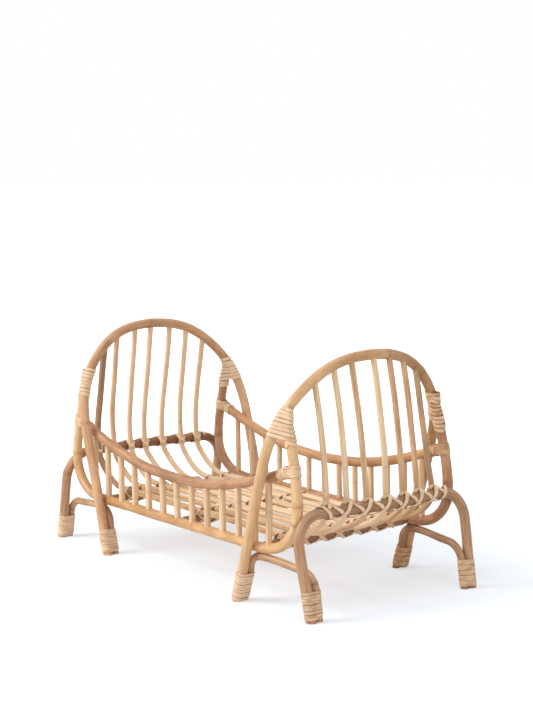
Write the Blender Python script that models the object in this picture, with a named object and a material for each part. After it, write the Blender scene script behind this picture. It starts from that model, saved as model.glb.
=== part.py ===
"""Doll bed of bent rattan cane.

Two arched hoops make the head and the foot. A U-shaped frame, a sagging top rail and a row of
spindles make each side. An outer leg frame stands at each end, and a thin brace joins the feet on
each side. Seven long canes run down from each arch, bend inwards under the leg frame's cross rail
and lie in pairs on three cross bars as the bed base. Flat reed binds the joints.

The foot end is +X, the head end -X, the near side -Y and the far side +Y. The origin is at floor
level under the middle of the bed. Lengths are in metres.
"""
import bpy
import bmesh
import math
import numpy as np
from mathutils import Matrix, Vector

# Cane and reed stock
FRAME_CANE = 0.0126            # diameter of the hoops, side frames, top rails and leg frames
BRACE_CANE = 0.0094            # diameter of the low braces between the feet
BAR_CANE = 0.0115              # diameter of the cross bars under the base
END_CANE = 0.0071              # diameter of the long canes of the ends and the base
SPINDLE_CANE = 0.0077          # diameter of the side spindles
REED_THICKNESS = 0.0011        # flat binding reed
FIT_GAP = 0.0003               # clearance between pieces that touch

# Arched hoops
ARCH_HEIGHT = 0.2937           # floor to the centre of the cane at the crown
ARCH_HALF_SPAN = 0.1335        # half the distance between the legs, centre to centre
ARCH_FOOT_INSET = 0.0967       # legs at the floor, inside the furthest point of the side frames
ARCH_CROWN_INSET = 0.0096      # crown, less far inside: the hoop leans outwards
ARCH_HALF_SHARES = [(0.0, 1.0), (0.203, 0.9925), (0.403, 0.967), (0.592, 0.918), (0.754, 0.850),
                    (0.883, 0.768), (0.960, 0.680), (0.992, 0.588), (1.0, 0.49), (1.0, 0.30),
                    (1.0, 0.14), (1.0, 0.0)]

# Side frames, a flat bottom rail with both ends bent up to the hoops
SIDE_RAIL_Z = 0.0690           # centre of the bottom rail
SIDE_HALF_LENGTH = 0.2392      # middle of the bed to the centre of the cane at its furthest
SIDE_RISE = 0.1700             # bottom rail to the upper ends, both at the centre
SIDE_LEAN = 0.0040             # how far the sides lean inwards over that rise
SIDE_HALF_SHARES = [(0.0, 0.0), (0.30, 0.0), (0.60, 0.0), (0.78, 0.006), (0.872, 0.039),
                    (0.950, 0.118), (0.990, 0.209), (1.0, 0.291), (0.996, 0.408), (0.978, 0.553),
                    (0.952, 0.699), (0.930, 0.815), (0.917, 0.893), (0.902, 1.0)]
SCARF_SHARE = 0.40             # cane left at the scarfed upper ends
SCARF_LENGTH = 0.030           # length of that taper

# Top rails of the sides, which sag between the side frames
TOP_RAIL_MID_Z = 0.1238        # centre of the rail at mid length
TOP_RAIL_END_Z = 0.1682        # centre of the rail where it meets the side frame
TOP_RAIL_SHARES = [(0.0, 0.0), (0.16, 0.020), (0.31, 0.083), (0.46, 0.210), (0.62, 0.395),
                   (0.76, 0.595), (0.88, 0.800), (1.0, 1.0)]

# Outer leg frames, a cross rail bent down into a leg at each side
LEG_RAIL_Z = 0.1197            # centre of the cross rail
LEG_BEND = 0.0345              # bend radius at the centre of the cane
RAIL_BOW = 0.0100              # how far the middle of the cross rail bows away from the bed
LEG_INSET = 0.0028             # legs just under the bend, inside the line of the hoop's legs
LEG_FOOT_INSET = 0.0036        # how far the legs draw together down to the floor
LEG_SPLAY = 0.0205             # how far the feet stand outside the cross rail

# Braces, low arches between the inner and the outer foot of each corner
BRACE_TOP_DROP = 0.0036        # slope of the flat top towards the outer foot
BRACE_INNER_BEND = 0.0190      # bend radius over the inner foot
BRACE_OUTER_BEND = 0.0270      # bend radius over the outer foot

# Base: cross bars, and the canes of both ends lying on them in pairs
BAR_INSET = 0.0719             # outer cross bars, inside the furthest point of the side frames
BASE_CANE_Z = 0.0755           # centre of the canes on the bars
CANE_COUNT = 7
CANE_INSET = 0.0501            # outer pairs, inside the line of the hoop's legs
CANE_OVERRUN = 0.0130          # cane past the centre of the far bar
CANE_BEND_SHARES = {
    "head": [(0.0, 0.0), (0.03, 0.16), (0.12, 0.33), (0.30, 0.585), (0.52, 0.815), (0.76, 0.96),
             (1.0, 1.0)],
    "foot": [(0.0, 0.0), (0.01, 0.17), (0.065, 0.33), (0.23, 0.585), (0.47, 0.815), (0.755, 0.96),
             (1.0, 1.0)],
}
CANE_TOP_SHARES = {            # each cane's top beside its place on the rail, of the pitch
    "head": (-0.09, 0.02, 0.07, 0.05, 0.10, 0.04, 0.0),
    "foot": (-0.10, -0.19, -0.28, -0.05, -0.11, -0.23, -0.27),
}

# Spindles between the top rail and the bottom rail
SPINDLE_COUNT = 13
SPINDLE_INSET = 0.0472         # end spindles, inside the furthest point of the side frames

# Bindings
FOOT_REED = 0.0034             # reed width round the feet
FOOT_TURNS = 7
FOOT_BINDING_LOW = 0.0032      # centre of the lowest turn over the floor
FOOT_BINDING_HIGH = 0.0305     # centre of the highest turn
SHOULDER_REED = 0.0041         # reed width where a side frame meets a hoop
SHOULDER_TURNS = 6             # turns round both canes
SHOULDER_TAIL_TURNS = 2        # turns round the side frame alone
SHOULDER_HIGH = 0.2355         # height of the first turn
SHOULDER_PITCH = 0.0050
TEE_REED = 0.0028              # reed width where a top rail meets a side frame
TEE_TURNS = 4                  # turns round the rail
TEE_PITCH = 0.0034
TEE_LAP_GAP = 0.0012           # between the reed's laps round the side frame
LASHING_REED = 0.0030          # reed width of the crossed lashing on the cross rail
LASHING_RISE = 0.0050          # half the height of a crossing over a cane
LASHING_CLEARANCE = 0.0012     # lashing to the canes that it crosses, which lean
LASHING_END_SHARE = 0.30       # lashing past the outer canes, of the pitch between canes
LASHING_LOOP_SHARES = [(0.0, 180), (0.15, 150), (0.26, 120), (0.38, 60), (0.50, 0), (0.62, -60),
                       (0.74, -120), (0.85, -150)]
REED_CLEARANCE = 0.0003        # reed to the canes inside it
REED_LAYER_GAP = 0.0006        # between crossing layers of reed
REED_ANCHOR = 0.0014           # how deep a reed's nailed end sits in its cane

# Facets
THICK_SIDES = 2                # bevel resolution of the thick canes
THIN_SIDES = 1                 # bevel resolution of the thin canes
FINE_CHORD = 0.00018           # how far a facet may leave its cane's line where canes touch
COARSE_CHORD = 0.00035         # the same on canes that cross open space
SPLINE_STEPS = 240
WELD_DISTANCE = 0.00001        # points of a mesh closer than this are one
LOOP_POINTS = 8                # points in a turn of reed round two canes
SMALL_LOOP_POINTS = 6          # points in a turn of reed round one cane

# Sizes that follow
FRAME_R = FRAME_CANE / 2
BRACE_R = BRACE_CANE / 2
BAR_R = BAR_CANE / 2
END_R = END_CANE / 2
SPINDLE_R = SPINDLE_CANE / 2
SIDE_Y = ARCH_HALF_SPAN - FRAME_CANE - FIT_GAP
ARCH_FOOT_X = SIDE_HALF_LENGTH - ARCH_FOOT_INSET
ARCH_CROWN_X = SIDE_HALF_LENGTH - ARCH_CROWN_INSET
BAR_SPREAD = SIDE_HALF_LENGTH - BAR_INSET
CANE_PITCH = 2 * (ARCH_HALF_SPAN - CANE_INSET) / (CANE_COUNT - 1)
SPINDLE_PITCH = 2 * (SIDE_HALF_LENGTH - SPINDLE_INSET) / (SPINDLE_COUNT - 1)
BAR_Z = BASE_CANE_Z - END_R - BAR_R - FIT_GAP
PAIR_OFFSET = (END_CANE + FIT_GAP) / 2
LEG_HALF_SPAN = ARCH_HALF_SPAN - LEG_INSET
LEG_FOOT_HALF_SPAN = LEG_HALF_SPAN - LEG_FOOT_INSET
BRACE_TOP_Z = SIDE_RAIL_Z - FRAME_R - BRACE_R - FIT_GAP
BRACE_SPACING = FRAME_R + BRACE_R + FIT_GAP
FLOOR_OVERRUN = FRAME_R
COPE_DEPTH = FRAME_R / 2       # how far a coped end reaches into the outline of the cane it meets
ENDS = {"head": -1, "foot": 1}
SIDES = {"near": -1, "far": 1}

for old in list(bpy.data.objects):
    bpy.data.objects.remove(old, do_unlink=True)

bed = bpy.data.collections.new("doll_bed")
guides = bpy.data.collections.new("doll_bed_guides")
bpy.context.scene.collection.children.link(bed)
bpy.context.scene.collection.children.link(guides)


def make_material(name, color, roughness):
    """A matt or satin plant fibre surface."""
    material = bpy.data.materials.new(name)
    material.use_nodes = True
    shader = material.node_tree.nodes["Principled BSDF"]
    shader.inputs["Base Color"].default_value = (*color, 1.0)
    shader.inputs["Roughness"].default_value = roughness
    shader.inputs["Metallic"].default_value = 0.0
    return material


ARCH_SKIN = make_material("arch_cane", (0.52, 0.31, 0.16), 0.45)
FRAME_SKIN = make_material("frame_cane", (0.66, 0.43, 0.24), 0.42)
RAIL_SKIN = make_material("rail_cane", (0.50, 0.30, 0.16), 0.45)
LEG_SKIN = make_material("leg_cane", (0.42, 0.25, 0.15), 0.40)
BRACE_SKIN = make_material("brace_cane", (0.48, 0.29, 0.16), 0.45)
BAR_SKIN = make_material("bar_cane", (0.36, 0.21, 0.12), 0.50)
PEELED = make_material("peeled_cane", (0.76, 0.54, 0.31), 0.60)
REED = make_material("binding_reed", (0.72, 0.52, 0.30), 0.55)


def spline_through(points, steps=SPLINE_STEPS):
    """A natural cubic through the points, by chord length, read at even steps."""
    points = np.array(points, dtype=float)
    chords = np.linalg.norm(np.diff(points, axis=0), axis=1)
    knots = np.concatenate([[0.0], np.cumsum(chords)])
    count = len(points)
    system = np.zeros((count, count))
    slopes = np.zeros_like(points)
    system[0, 0] = system[-1, -1] = 1.0
    for i in range(1, count - 1):
        system[i, i - 1] = chords[i - 1]
        system[i, i] = 2 * (chords[i - 1] + chords[i])
        system[i, i + 1] = chords[i]
        after = (points[i + 1] - points[i]) / chords[i]
        before = (points[i] - points[i - 1]) / chords[i - 1]
        slopes[i] = 6 * (after - before)
    curvature = np.linalg.solve(system, slopes)
    samples = []
    for t in np.linspace(0.0, knots[-1], steps + 1):
        i = min(int(np.searchsorted(knots, t, side="right")) - 1, count - 2)
        width = chords[i]
        right = (t - knots[i]) / width
        left = 1 - right
        value = left * points[i] + right * points[i + 1]
        value = value + ((left ** 3 - left) * curvature[i]
                         + (right ** 3 - right) * curvature[i + 1]) * width ** 2 / 6
        samples.append(value)
    return np.array(samples)


def thinned(line, chord_error, first=0, last=None):
    """The points of a fine line that a faceted cane needs to stay within the chord error."""
    if last is None:
        kept = thinned(line, chord_error, 0, len(line) - 1)
        return kept + [len(line) - 1]
    chord = line[last] - line[first]
    chord = chord / np.linalg.norm(chord)
    offsets = line[first:last] - line[first]
    away = np.linalg.norm(offsets - np.outer(offsets @ chord, chord), axis=1)
    furthest = int(np.argmax(away))
    if away[furthest] <= chord_error:
        return [first]
    middle = first + furthest
    return thinned(line, chord_error, first, middle) + thinned(line, chord_error, middle, last)


def mirrored_half(half, axis):
    """The whole line of a symmetric piece, from the half that starts at the middle."""
    other = half.copy()
    other[:, axis] *= -1
    return np.concatenate([other[::-1], half[1:]])


def moved(line, end=1, side=1):
    """The same line at the head or foot end, and on the near or far side."""
    return line * np.array([end, side, 1.0])


def at_level(line, normal, level):
    """Where a centre line crosses the plane at this level along the normal."""
    heights = line @ normal - level
    for i in range(len(line) - 1):
        if heights[i] == 0 or heights[i] * heights[i + 1] < 0:
            share = heights[i] / (heights[i] - heights[i + 1])
            return line[i] + (line[i + 1] - line[i]) * share
    return line[int(np.argmin(np.abs(heights)))]


def heading_at(line, normal, level):
    """The unit direction of a centre line near that plane, on the normal's side."""
    nearest = int(np.argmin(np.abs(line @ normal - level)))
    nearest = min(max(nearest, 1), len(line) - 2)
    step = line[nearest + 1] - line[nearest - 1]
    step = step / np.linalg.norm(step)
    return step if step @ normal > 0 else -step


def tube(name, points, radius, skin, sides, place=None, shares=None, collection=bed):
    """A cane: a POLY curve with a round bevel and filled ends."""
    curve = bpy.data.curves.new(name, "CURVE")
    curve.dimensions = "3D"
    curve.bevel_depth = radius
    curve.bevel_resolution = sides
    curve.use_fill_caps = True
    curve.twist_mode = "MINIMUM"
    spline = curve.splines.new("POLY")
    spline.points.add(len(points) - 1)
    for i, point in enumerate(points):
        spline.points[i].co = (*point, 1.0)
        spline.points[i].radius = 1.0 if shares is None else shares[i]
    curve.materials.append(skin)
    cane = bpy.data.objects.new(name, curve)
    if place is not None:
        cane.matrix_world = place
    collection.objects.link(cane)
    return cane


def as_mesh(cane):
    """The curve as a welded mesh object with the same name and place."""
    bpy.context.view_layer.update()
    evaluated = cane.evaluated_get(bpy.context.evaluated_depsgraph_get())
    mesh = bpy.data.meshes.new_from_object(evaluated)
    work = bmesh.new()
    work.from_mesh(mesh)
    bmesh.ops.remove_doubles(work, verts=work.verts, dist=WELD_DISTANCE)
    bmesh.ops.recalc_face_normals(work, faces=work.faces)
    work.to_mesh(mesh)
    work.free()
    name, place, homes = cane.name, cane.matrix_world.copy(), list(cane.users_collection)
    old_curve = cane.data
    bpy.data.objects.remove(cane, do_unlink=True)
    bpy.data.curves.remove(old_curve)
    solid = bpy.data.objects.new(name, mesh)
    solid.matrix_world = place
    for home in homes:
        home.objects.link(solid)
    mesh.shade_smooth()
    mesh.set_sharp_from_angle(angle=math.radians(50))
    return solid


def hide_as_guide(item):
    """Keeps a cutter or an operand out of the finished bed."""
    item.hide_render = True
    item.display_type = "WIRE"
    return item


def cutter_tube(name, points, radius, sides, shares=None):
    return hide_as_guide(as_mesh(tube(name, points, radius + FIT_GAP, REED, sides, None, shares, guides)))


def combine(solid, operand, operation):
    change = solid.modifiers.new(operation.lower() + "_" + operand.name, "BOOLEAN")
    change.operation = operation
    change.solver = "EXACT"
    change.object = operand


# Floor plane that trims the feet
bpy.ops.mesh.primitive_cube_add(size=1.0)
floor_cutter = bpy.context.object
floor_cutter.name = "floor_cutter"
floor_depth = 4 * FRAME_CANE
floor_cutter.scale = (3 * SIDE_HALF_LENGTH, 3 * ARCH_HALF_SPAN, floor_depth)
floor_cutter.location = (0.0, 0.0, -floor_depth / 2)
for home in list(floor_cutter.users_collection):
    home.objects.unlink(floor_cutter)
guides.objects.link(floor_cutter)
hide_as_guide(floor_cutter)


# Centre lines of the foot end and the far side, all read from the named sizes
def arch_line():
    half = spline_through([(y * ARCH_HALF_SPAN, z * ARCH_HEIGHT) for y, z in ARCH_HALF_SHARES])
    lean = (ARCH_CROWN_X - ARCH_FOOT_X) / ARCH_HEIGHT
    points = np.array([(ARCH_FOOT_X + lean * z, y, z) for y, z in half])
    below = points[-1] + np.array([-lean, 0.0, -1.0]) * FLOOR_OVERRUN
    return mirrored_half(np.vstack([points, below]), 1)


def outside(line, y, z, reach):
    """The least x at this y and z that keeps the reach from every point of the line."""
    room = reach ** 2 - (line[:, 1] - y) ** 2 - (line[:, 2] - z) ** 2
    near = room > 0
    if not near.any():
        return 0.0
    return float(np.max(line[near, 0] + np.sqrt(room[near])))


def side_y(z):
    """The sides stand on straight bottom rails and lean towards the middle as they rise."""
    return SIDE_Y - SIDE_LEAN * (z - SIDE_RAIL_Z) / SIDE_RISE


def side_frame_line(arch):
    """Above the top rails the ends lie against the outside of the hoop, however far out it is."""
    top = SIDE_RAIL_Z + SIDE_RISE
    controls = []
    for x, z in SIDE_HALF_SHARES:
        height = SIDE_RAIL_Z + z * SIDE_RISE
        controls.append((x * SIDE_HALF_LENGTH, height))
    half = []
    for x, z in spline_through(controls):
        whittled = SCARF_SHARE + (1 - SCARF_SHARE) * min(1.0, (top - z) / SCARF_LENGTH)
        reach = FRAME_R * (1 + whittled) + FIT_GAP
        if z > TOP_RAIL_END_Z:
            x = max(x, outside(arch, side_y(z), z, reach))
        half.append((x, side_y(z), z))
    return mirrored_half(np.array(half), 0)


def top_rail_line(frame):
    up = np.array([0.0, 0.0, 1.0])
    outer = frame[len(frame) // 2:]
    end_x = at_level(outer[outer[:, 0] > SIDE_HALF_LENGTH / 2], up, TOP_RAIL_END_Z)[0] - COPE_DEPTH
    rise = TOP_RAIL_END_Z - TOP_RAIL_MID_Z
    half = spline_through([(x * end_x, TOP_RAIL_MID_Z + z * rise) for x, z in TOP_RAIL_SHARES])
    return mirrored_half(np.array([(x, side_y(z), z) for x, z in half]), 0)


def leg_line(rail_x):
    bend_y = LEG_HALF_SPAN - LEG_BEND
    bend_z = LEG_RAIL_Z - LEG_BEND
    half = [(bend_y * share, LEG_RAIL_Z) for share in np.linspace(0.0, 1.0, 61)[:-1]]
    for angle in np.linspace(0.0, math.pi / 2, 37):
        half.append((bend_y + LEG_BEND * math.sin(angle), bend_z + LEG_BEND * math.cos(angle)))
    bows = [RAIL_BOW * (1 + math.cos(math.pi * y / LEG_HALF_SPAN)) / 2 for y, z in half]
    inward = (LEG_FOOT_HALF_SPAN - LEG_HALF_SPAN) / bend_z
    for share in np.linspace(0.0, 1.0, 13)[1:]:
        ease = share ** 2 * (3 - 2 * share)
        half.append((LEG_HALF_SPAN + inward * bend_z * ease, bend_z * (1 - share)))
    half.append((LEG_FOOT_HALF_SPAN, -FLOOR_OVERRUN))
    bows += [0.0] * (len(half) - len(bows))
    points = []
    for bow, (y, z) in zip(bows, half):
        points.append((rail_x + bow + LEG_SPLAY * (1 - z / LEG_RAIL_Z), y, z))
    return mirrored_half(np.array(points), 1)


def brace_line(arch, leg):
    up = np.array([0.0, 0.0, 1.0])
    inner_leg = at_level(arch[len(arch) // 2:], up, 0.0)
    outer_leg = at_level(leg[len(leg) // 2:], up, 0.0)
    inner_lean = (ARCH_CROWN_X - ARCH_FOOT_X) / ARCH_HEIGHT
    outer_lean = -LEG_SPLAY / LEG_RAIL_Z
    inner_y = inner_leg[1] - BRACE_SPACING
    outer_y = outer_leg[1] - BRACE_SPACING
    inner_z = BRACE_TOP_Z - BRACE_INNER_BEND
    outer_z = BRACE_TOP_Z - BRACE_TOP_DROP - BRACE_OUTER_BEND
    profile = []
    for z in (-FLOOR_OVERRUN, 0.0, inner_z / 2, inner_z):
        profile.append((inner_leg[0] + inner_lean * z, z))
    start_x = inner_leg[0] + inner_lean * inner_z
    for angle in np.linspace(0.0, math.pi / 2, 9)[1:]:
        profile.append((start_x + BRACE_INNER_BEND * (1 - math.cos(angle)),
                        inner_z + BRACE_INNER_BEND * math.sin(angle)))
    stop_x = outer_leg[0] + outer_lean * outer_z
    for angle in np.linspace(math.pi / 2, 0.0, 9)[:-1]:
        profile.append((stop_x - BRACE_OUTER_BEND * (1 - math.cos(angle)),
                        outer_z + BRACE_OUTER_BEND * math.sin(angle)))
    for z in (outer_z, outer_z / 2, 0.0, -FLOOR_OVERRUN):
        profile.append((outer_leg[0] + outer_lean * z, z))
    line = spline_through(profile)
    span = outer_leg[0] - inner_leg[0]
    shares = np.clip((line[:, 0] - inner_leg[0]) / span, 0.0, 1.0)
    shares = shares ** 2 * (3 - 2 * shares)
    upward = leg[len(leg) // 2:][::-1]
    beside_leg = np.interp(line[:, 1], upward[:, 2], upward[:, 1]) - BRACE_SPACING
    sideways = inner_y + (np.minimum(outer_y, beside_leg) - inner_y) * shares
    return np.column_stack([line[:, 0], sideways, line[:, 1]])


def rail_place(leg, y):
    """The x of the bowed cross rail's centre at this y."""
    over = leg[leg[:, 2] > LEG_RAIL_Z - FRAME_R]
    return float(np.interp(y, over[:, 1], over[:, 0]))


def inside_rail(leg, y, reach):
    """The greatest x at this y that keeps the reach from the bowed cross rail."""
    room = reach ** 2 - (leg[:, 1] - y) ** 2
    near = (room > 0) & (leg[:, 2] > LEG_RAIL_Z - FRAME_R)
    return float(np.min(leg[near, 0] - np.sqrt(room[near])))


def end_cane_line(end, cane):
    """From the hoop down inside the cross rail, round the bend and along the base.

    Above the rail and its lashing the cane eases sideways to its own place under the hoop."""
    pair_y = (cane - (CANE_COUNT - 1) / 2) * CANE_PITCH
    y = pair_y + ENDS[end] * PAIR_OFFSET
    shift = CANE_TOP_SHARES[end][cane] * CANE_PITCH
    cane_x = inside_rail(LEG, y, FRAME_R + END_R + FIT_GAP)
    top_half = ARCH[np.abs(ARCH[:, 2]) > ARCH_HEIGHT / 2]
    across = np.array([0.0, 1.0, 0.0])
    top = at_level(top_half, across, y + shift)
    reach_x = cane_x - BAR_SPREAD
    reach_z = LEG_RAIL_Z - BASE_CANE_Z
    profile = [(top[0], top[2]), ((top[0] + 3 * cane_x) / 4, (top[2] + LEG_RAIL_Z) / 2)]
    for x, z in CANE_BEND_SHARES[end]:
        profile.append((cane_x - x * reach_x, LEG_RAIL_Z - z * reach_z))
    bend = spline_through(profile)
    line = np.vstack([bend, [(-BAR_SPREAD - CANE_OVERRUN, BASE_CANE_Z)]])
    held = LEG_RAIL_Z + FRAME_CANE
    rise = np.clip((line[:, 1] - held) / (top[2] - held), 0.0, 1.0)
    return np.column_stack([line[:, 0], y + shift * (1 - (1 - rise) ** 2), line[:, 1]])


def room_between(outer, inner, reach):
    """How far the outer line can move towards -X before it comes within reach of the inner."""
    room = math.inf
    for point in outer:
        across = reach ** 2 - (inner[:, 1] - point[1]) ** 2 - (inner[:, 2] - point[2]) ** 2
        near = across > 0
        if near.any():
            room = min(room, float(np.min(point[0] - inner[near, 0] - np.sqrt(across[near]))))
    return room


ARCH = arch_line()
SIDE_FRAME = side_frame_line(ARCH)
TOP_RAIL = top_rail_line(SIDE_FRAME)
FAR_RAIL_X = SIDE_HALF_LENGTH + 2 * FRAME_CANE
LEG_RAIL_X = FAR_RAIL_X - room_between(leg_line(FAR_RAIL_X), SIDE_FRAME, FRAME_CANE + FIT_GAP)
LEG = leg_line(LEG_RAIL_X)
BRACE = brace_line(ARCH, LEG)


def scarf_shares(line, kept):
    """Cane radius as a share: full, then whittled down over the last stretch of both ends."""
    steps = np.linalg.norm(np.diff(line, axis=0), axis=1)
    along = np.concatenate([[0.0], np.cumsum(steps)])
    shares = []
    for i in kept:
        from_end = min(along[i], along[-1] - along[i])
        shares.append(SCARF_SHARE + (1 - SCARF_SHARE) * min(1.0, from_end / SCARF_LENGTH))
    return shares


def with_scarf_points(line, kept):
    """Adds the points where the whittled ends begin."""
    steps = np.linalg.norm(np.diff(line, axis=0), axis=1)
    along = np.concatenate([[0.0], np.cumsum(steps)])
    first = int(np.searchsorted(along, SCARF_LENGTH))
    last = int(np.searchsorted(along, along[-1] - SCARF_LENGTH))
    return sorted(set(kept) | {first, last})


# Hoops
arch_keep = thinned(ARCH, FINE_CHORD)
arch_cutters = {}
for end, sign in ENDS.items():
    points = moved(ARCH, end=sign)[arch_keep]
    hoop = as_mesh(tube("arch_" + end, points, FRAME_R, ARCH_SKIN, THICK_SIDES))
    combine(hoop, floor_cutter, "DIFFERENCE")
    arch_cutters[end] = cutter_tube("arch_cutter_" + end, points, FRAME_R, THICK_SIDES)

# Side frames
side_keep = with_scarf_points(SIDE_FRAME, thinned(SIDE_FRAME, FINE_CHORD))
side_shares = scarf_shares(SIDE_FRAME, side_keep)
side_cutters = {}
for side, sign in SIDES.items():
    points = moved(SIDE_FRAME, side=sign)[side_keep]
    tube("side_frame_" + side, points, FRAME_R, FRAME_SKIN, THICK_SIDES, None, side_shares)
    side_cutters[side] = cutter_tube("side_cutter_" + side, points, FRAME_R, THICK_SIDES, side_shares)

# Leg frames
leg_keep = thinned(LEG, FINE_CHORD)
leg_frames = {}
for end, sign in ENDS.items():
    points = moved(LEG, end=sign)[leg_keep]
    leg_frames[end] = as_mesh(tube("leg_frame_" + end, points, FRAME_R, LEG_SKIN, THICK_SIDES))
    combine(leg_frames[end], floor_cutter, "DIFFERENCE")

# Top rails, coped against the side frames
rail_keep = thinned(TOP_RAIL, FINE_CHORD)
top_rails, rail_cutters = {}, {}
for side, sign in SIDES.items():
    points = moved(TOP_RAIL, side=sign)[rail_keep]
    top_rails[side] = as_mesh(tube("top_rail_" + side, points, FRAME_R, RAIL_SKIN, THICK_SIDES))
    combine(top_rails[side], side_cutters[side], "DIFFERENCE")
    rail_cutters[side] = cutter_tube("rail_cutter_" + side, points, FRAME_R, THICK_SIDES)

# Braces
brace_keep = thinned(BRACE, FINE_CHORD)
braces = {}
for end, end_sign in ENDS.items():
    for side, side_sign in SIDES.items():
        points = moved(BRACE, end_sign, side_sign)[brace_keep]
        name = "brace_" + end + "_" + side
        braces[end, side] = as_mesh(tube(name, points, BRACE_R, BRACE_SKIN, THIN_SIDES))
        combine(braces[end, side], floor_cutter, "DIFFERENCE")

# Cross bars, coped between the bottom rails
for place, x in (("head", -BAR_SPREAD), ("middle", 0.0), ("foot", BAR_SPREAD)):
    points = [(x, COPE_DEPTH - SIDE_Y, BAR_Z), (x, SIDE_Y - COPE_DEPTH, BAR_Z)]
    bar = as_mesh(tube("cross_bar_" + place, points, BAR_R, BAR_SKIN, THICK_SIDES))
    combine(bar, side_cutters["near"], "DIFFERENCE")
    combine(bar, side_cutters["far"], "DIFFERENCE")

# Canes of both ends, which cross the base side by side in pairs
for end, sign in ENDS.items():
    for i in range(CANE_COUNT):
        line = end_cane_line(end, i)
        points = moved(line, end=sign)[thinned(line, COARSE_CHORD)]
        name = "{}_cane_{}".format(end, i + 1)
        cane = as_mesh(tube(name, points, END_R, PEELED, THIN_SIDES))
        combine(cane, arch_cutters[end], "DIFFERENCE")

# Spindles, coped to the rails above and below
for side, sign in SIDES.items():
    for i in range(SPINDLE_COUNT):
        x = (i - (SPINDLE_COUNT - 1) / 2) * SPINDLE_PITCH
        along = np.array([1.0, 0.0, 0.0])
        low = at_level(SIDE_FRAME[SIDE_FRAME[:, 2] < TOP_RAIL_MID_Z], along, x)
        high = at_level(TOP_RAIL, along, x)
        points = [(x, sign * low[1], low[2]), (x, sign * high[1], high[2])]
        name = "spindle_{}_{:02d}".format(side, i + 1)
        spindle = as_mesh(tube(name, points, SPINDLE_R, PEELED, THIN_SIDES))
        combine(spindle, side_cutters[side], "DIFFERENCE")
        combine(spindle, rail_cutters[side], "DIFFERENCE")


# Reed bindings
def reed_profile(width):
    """The flat section of a reed, thin across and wide along the binding."""
    name = "reed_section_{:.1f}".format(width * 1000)
    if name in bpy.data.objects:
        return bpy.data.objects[name]
    curve = bpy.data.curves.new(name, "CURVE")
    curve.dimensions = "2D"
    spline = curve.splines.new("POLY")
    spline.points.add(3)
    corners = [(-1, -1), (1, -1), (1, 1), (-1, 1)]
    for i, (x, y) in enumerate(corners):
        spline.points[i].co = (x * REED_THICKNESS / 2, y * width / 2, 0.0, 1.0)
    spline.use_cyclic_u = True
    section = hide_as_guide(bpy.data.objects.new(name, curve))
    guides.objects.link(section)
    return section


def reed(name, points, width, axis, collection=bed):
    """One unbroken flat reed along the points, its width along the binding's axis."""
    axis = Vector(axis).normalized()
    turn = axis.to_track_quat("Z", "Y")
    middle = Vector(np.mean(np.array(points), axis=0))
    place = Matrix.Translation(middle) @ turn.to_matrix().to_4x4()
    back = place.inverted()
    curve = bpy.data.curves.new(name, "CURVE")
    curve.dimensions = "3D"
    curve.twist_mode = "Z_UP"
    curve.bevel_mode = "OBJECT"
    curve.bevel_object = reed_profile(width)
    curve.use_fill_caps = True
    spline = curve.splines.new("POLY")
    spline.points.add(len(points) - 1)
    for i, point in enumerate(points):
        spline.points[i].co = (*(back @ Vector(point)), 1.0)
    curve.materials.append(REED)
    strip = bpy.data.objects.new(name, curve)
    strip.matrix_world = place
    collection.objects.link(strip)
    return as_mesh(strip)


def turn_corner(canes, axis, level, width, ways):
    """The corner between two flats of a reed that is wound round canes.

    The flats face the two ways given, across the axis, and clear every cane over the whole width.
    Each cane is a centre line and a function that gives its radius at a level along the axis."""
    reaches = []
    for way in ways:
        reach = -math.inf
        for line, radius in canes:
            for edge in (level - width / 2, level, level + width / 2):
                heading = heading_at(line, axis, edge)
                lean = (heading @ way) / (heading @ axis)
                out = radius(edge) * math.sqrt(1 + lean ** 2)
                reach = max(reach, at_level(line, axis, edge) @ way + out)
        reaches.append(reach + REED_CLEARANCE + REED_THICKNESS / 2)
    return np.linalg.solve(np.array([*ways, axis]), np.array([*reaches, level]))


def ways_round(axis, across, turn, step):
    """The facing directions of the flats before and after this share of a turn."""
    across = across - (across @ axis) * axis
    across = across / np.linalg.norm(across)
    beside = np.cross(axis, across)
    ways = []
    for angle in (2 * math.pi * turn, 2 * math.pi * (turn + step)):
        ways.append(math.cos(angle) * across + math.sin(angle) * beside)
    return ways


def reach_round(radius, loop_points):
    """Distance from a cane's centre to a reed's corner points, so that its flats clear the cane."""
    return (radius + REED_CLEARANCE + REED_THICKNESS / 2) / math.cos(math.pi / loop_points)


def bind_pair(cane_a, cane_b, radius_a, radius_b, normal, start, pitch, turns, width, tail_turns=0):
    """Points of a reed wound round two canes, then round the second cane alone.

    The levels along the normal fall from the start by one pitch a turn."""
    points = []
    both = [(cane_a, radius_a), (cane_b, radius_b)]
    middle = start - pitch * turns / 2
    across = at_level(cane_b, normal, middle) - at_level(cane_a, normal, middle)
    for i in range((turns + tail_turns) * LOOP_POINTS + 1):
        level = start - pitch * i / LOOP_POINTS
        ways = ways_round(normal, across, i / LOOP_POINTS, 1 / LOOP_POINTS)
        wound = both[1:] if i > turns * LOOP_POINTS else both
        points.append(turn_corner(wound, normal, level, width, ways))
    return points


def least_gap(points, width, loop_points):
    """Least distance of a reed to its own next turns, edge to edge, from its centre points."""
    fine = []
    for first, second in zip(points[:-1], points[1:]):
        for share in (0.0, 0.25, 0.5, 0.75):
            fine.append(first + (second - first) * share)
    fine = np.array(fine)
    apart = 4 * loop_points // 2
    least = 1.0
    for i in range(len(fine) - apart):
        rest = np.linalg.norm(fine[i + apart:] - fine[i], axis=1)
        least = min(least, float(rest.min()))
    return least - width


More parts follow.
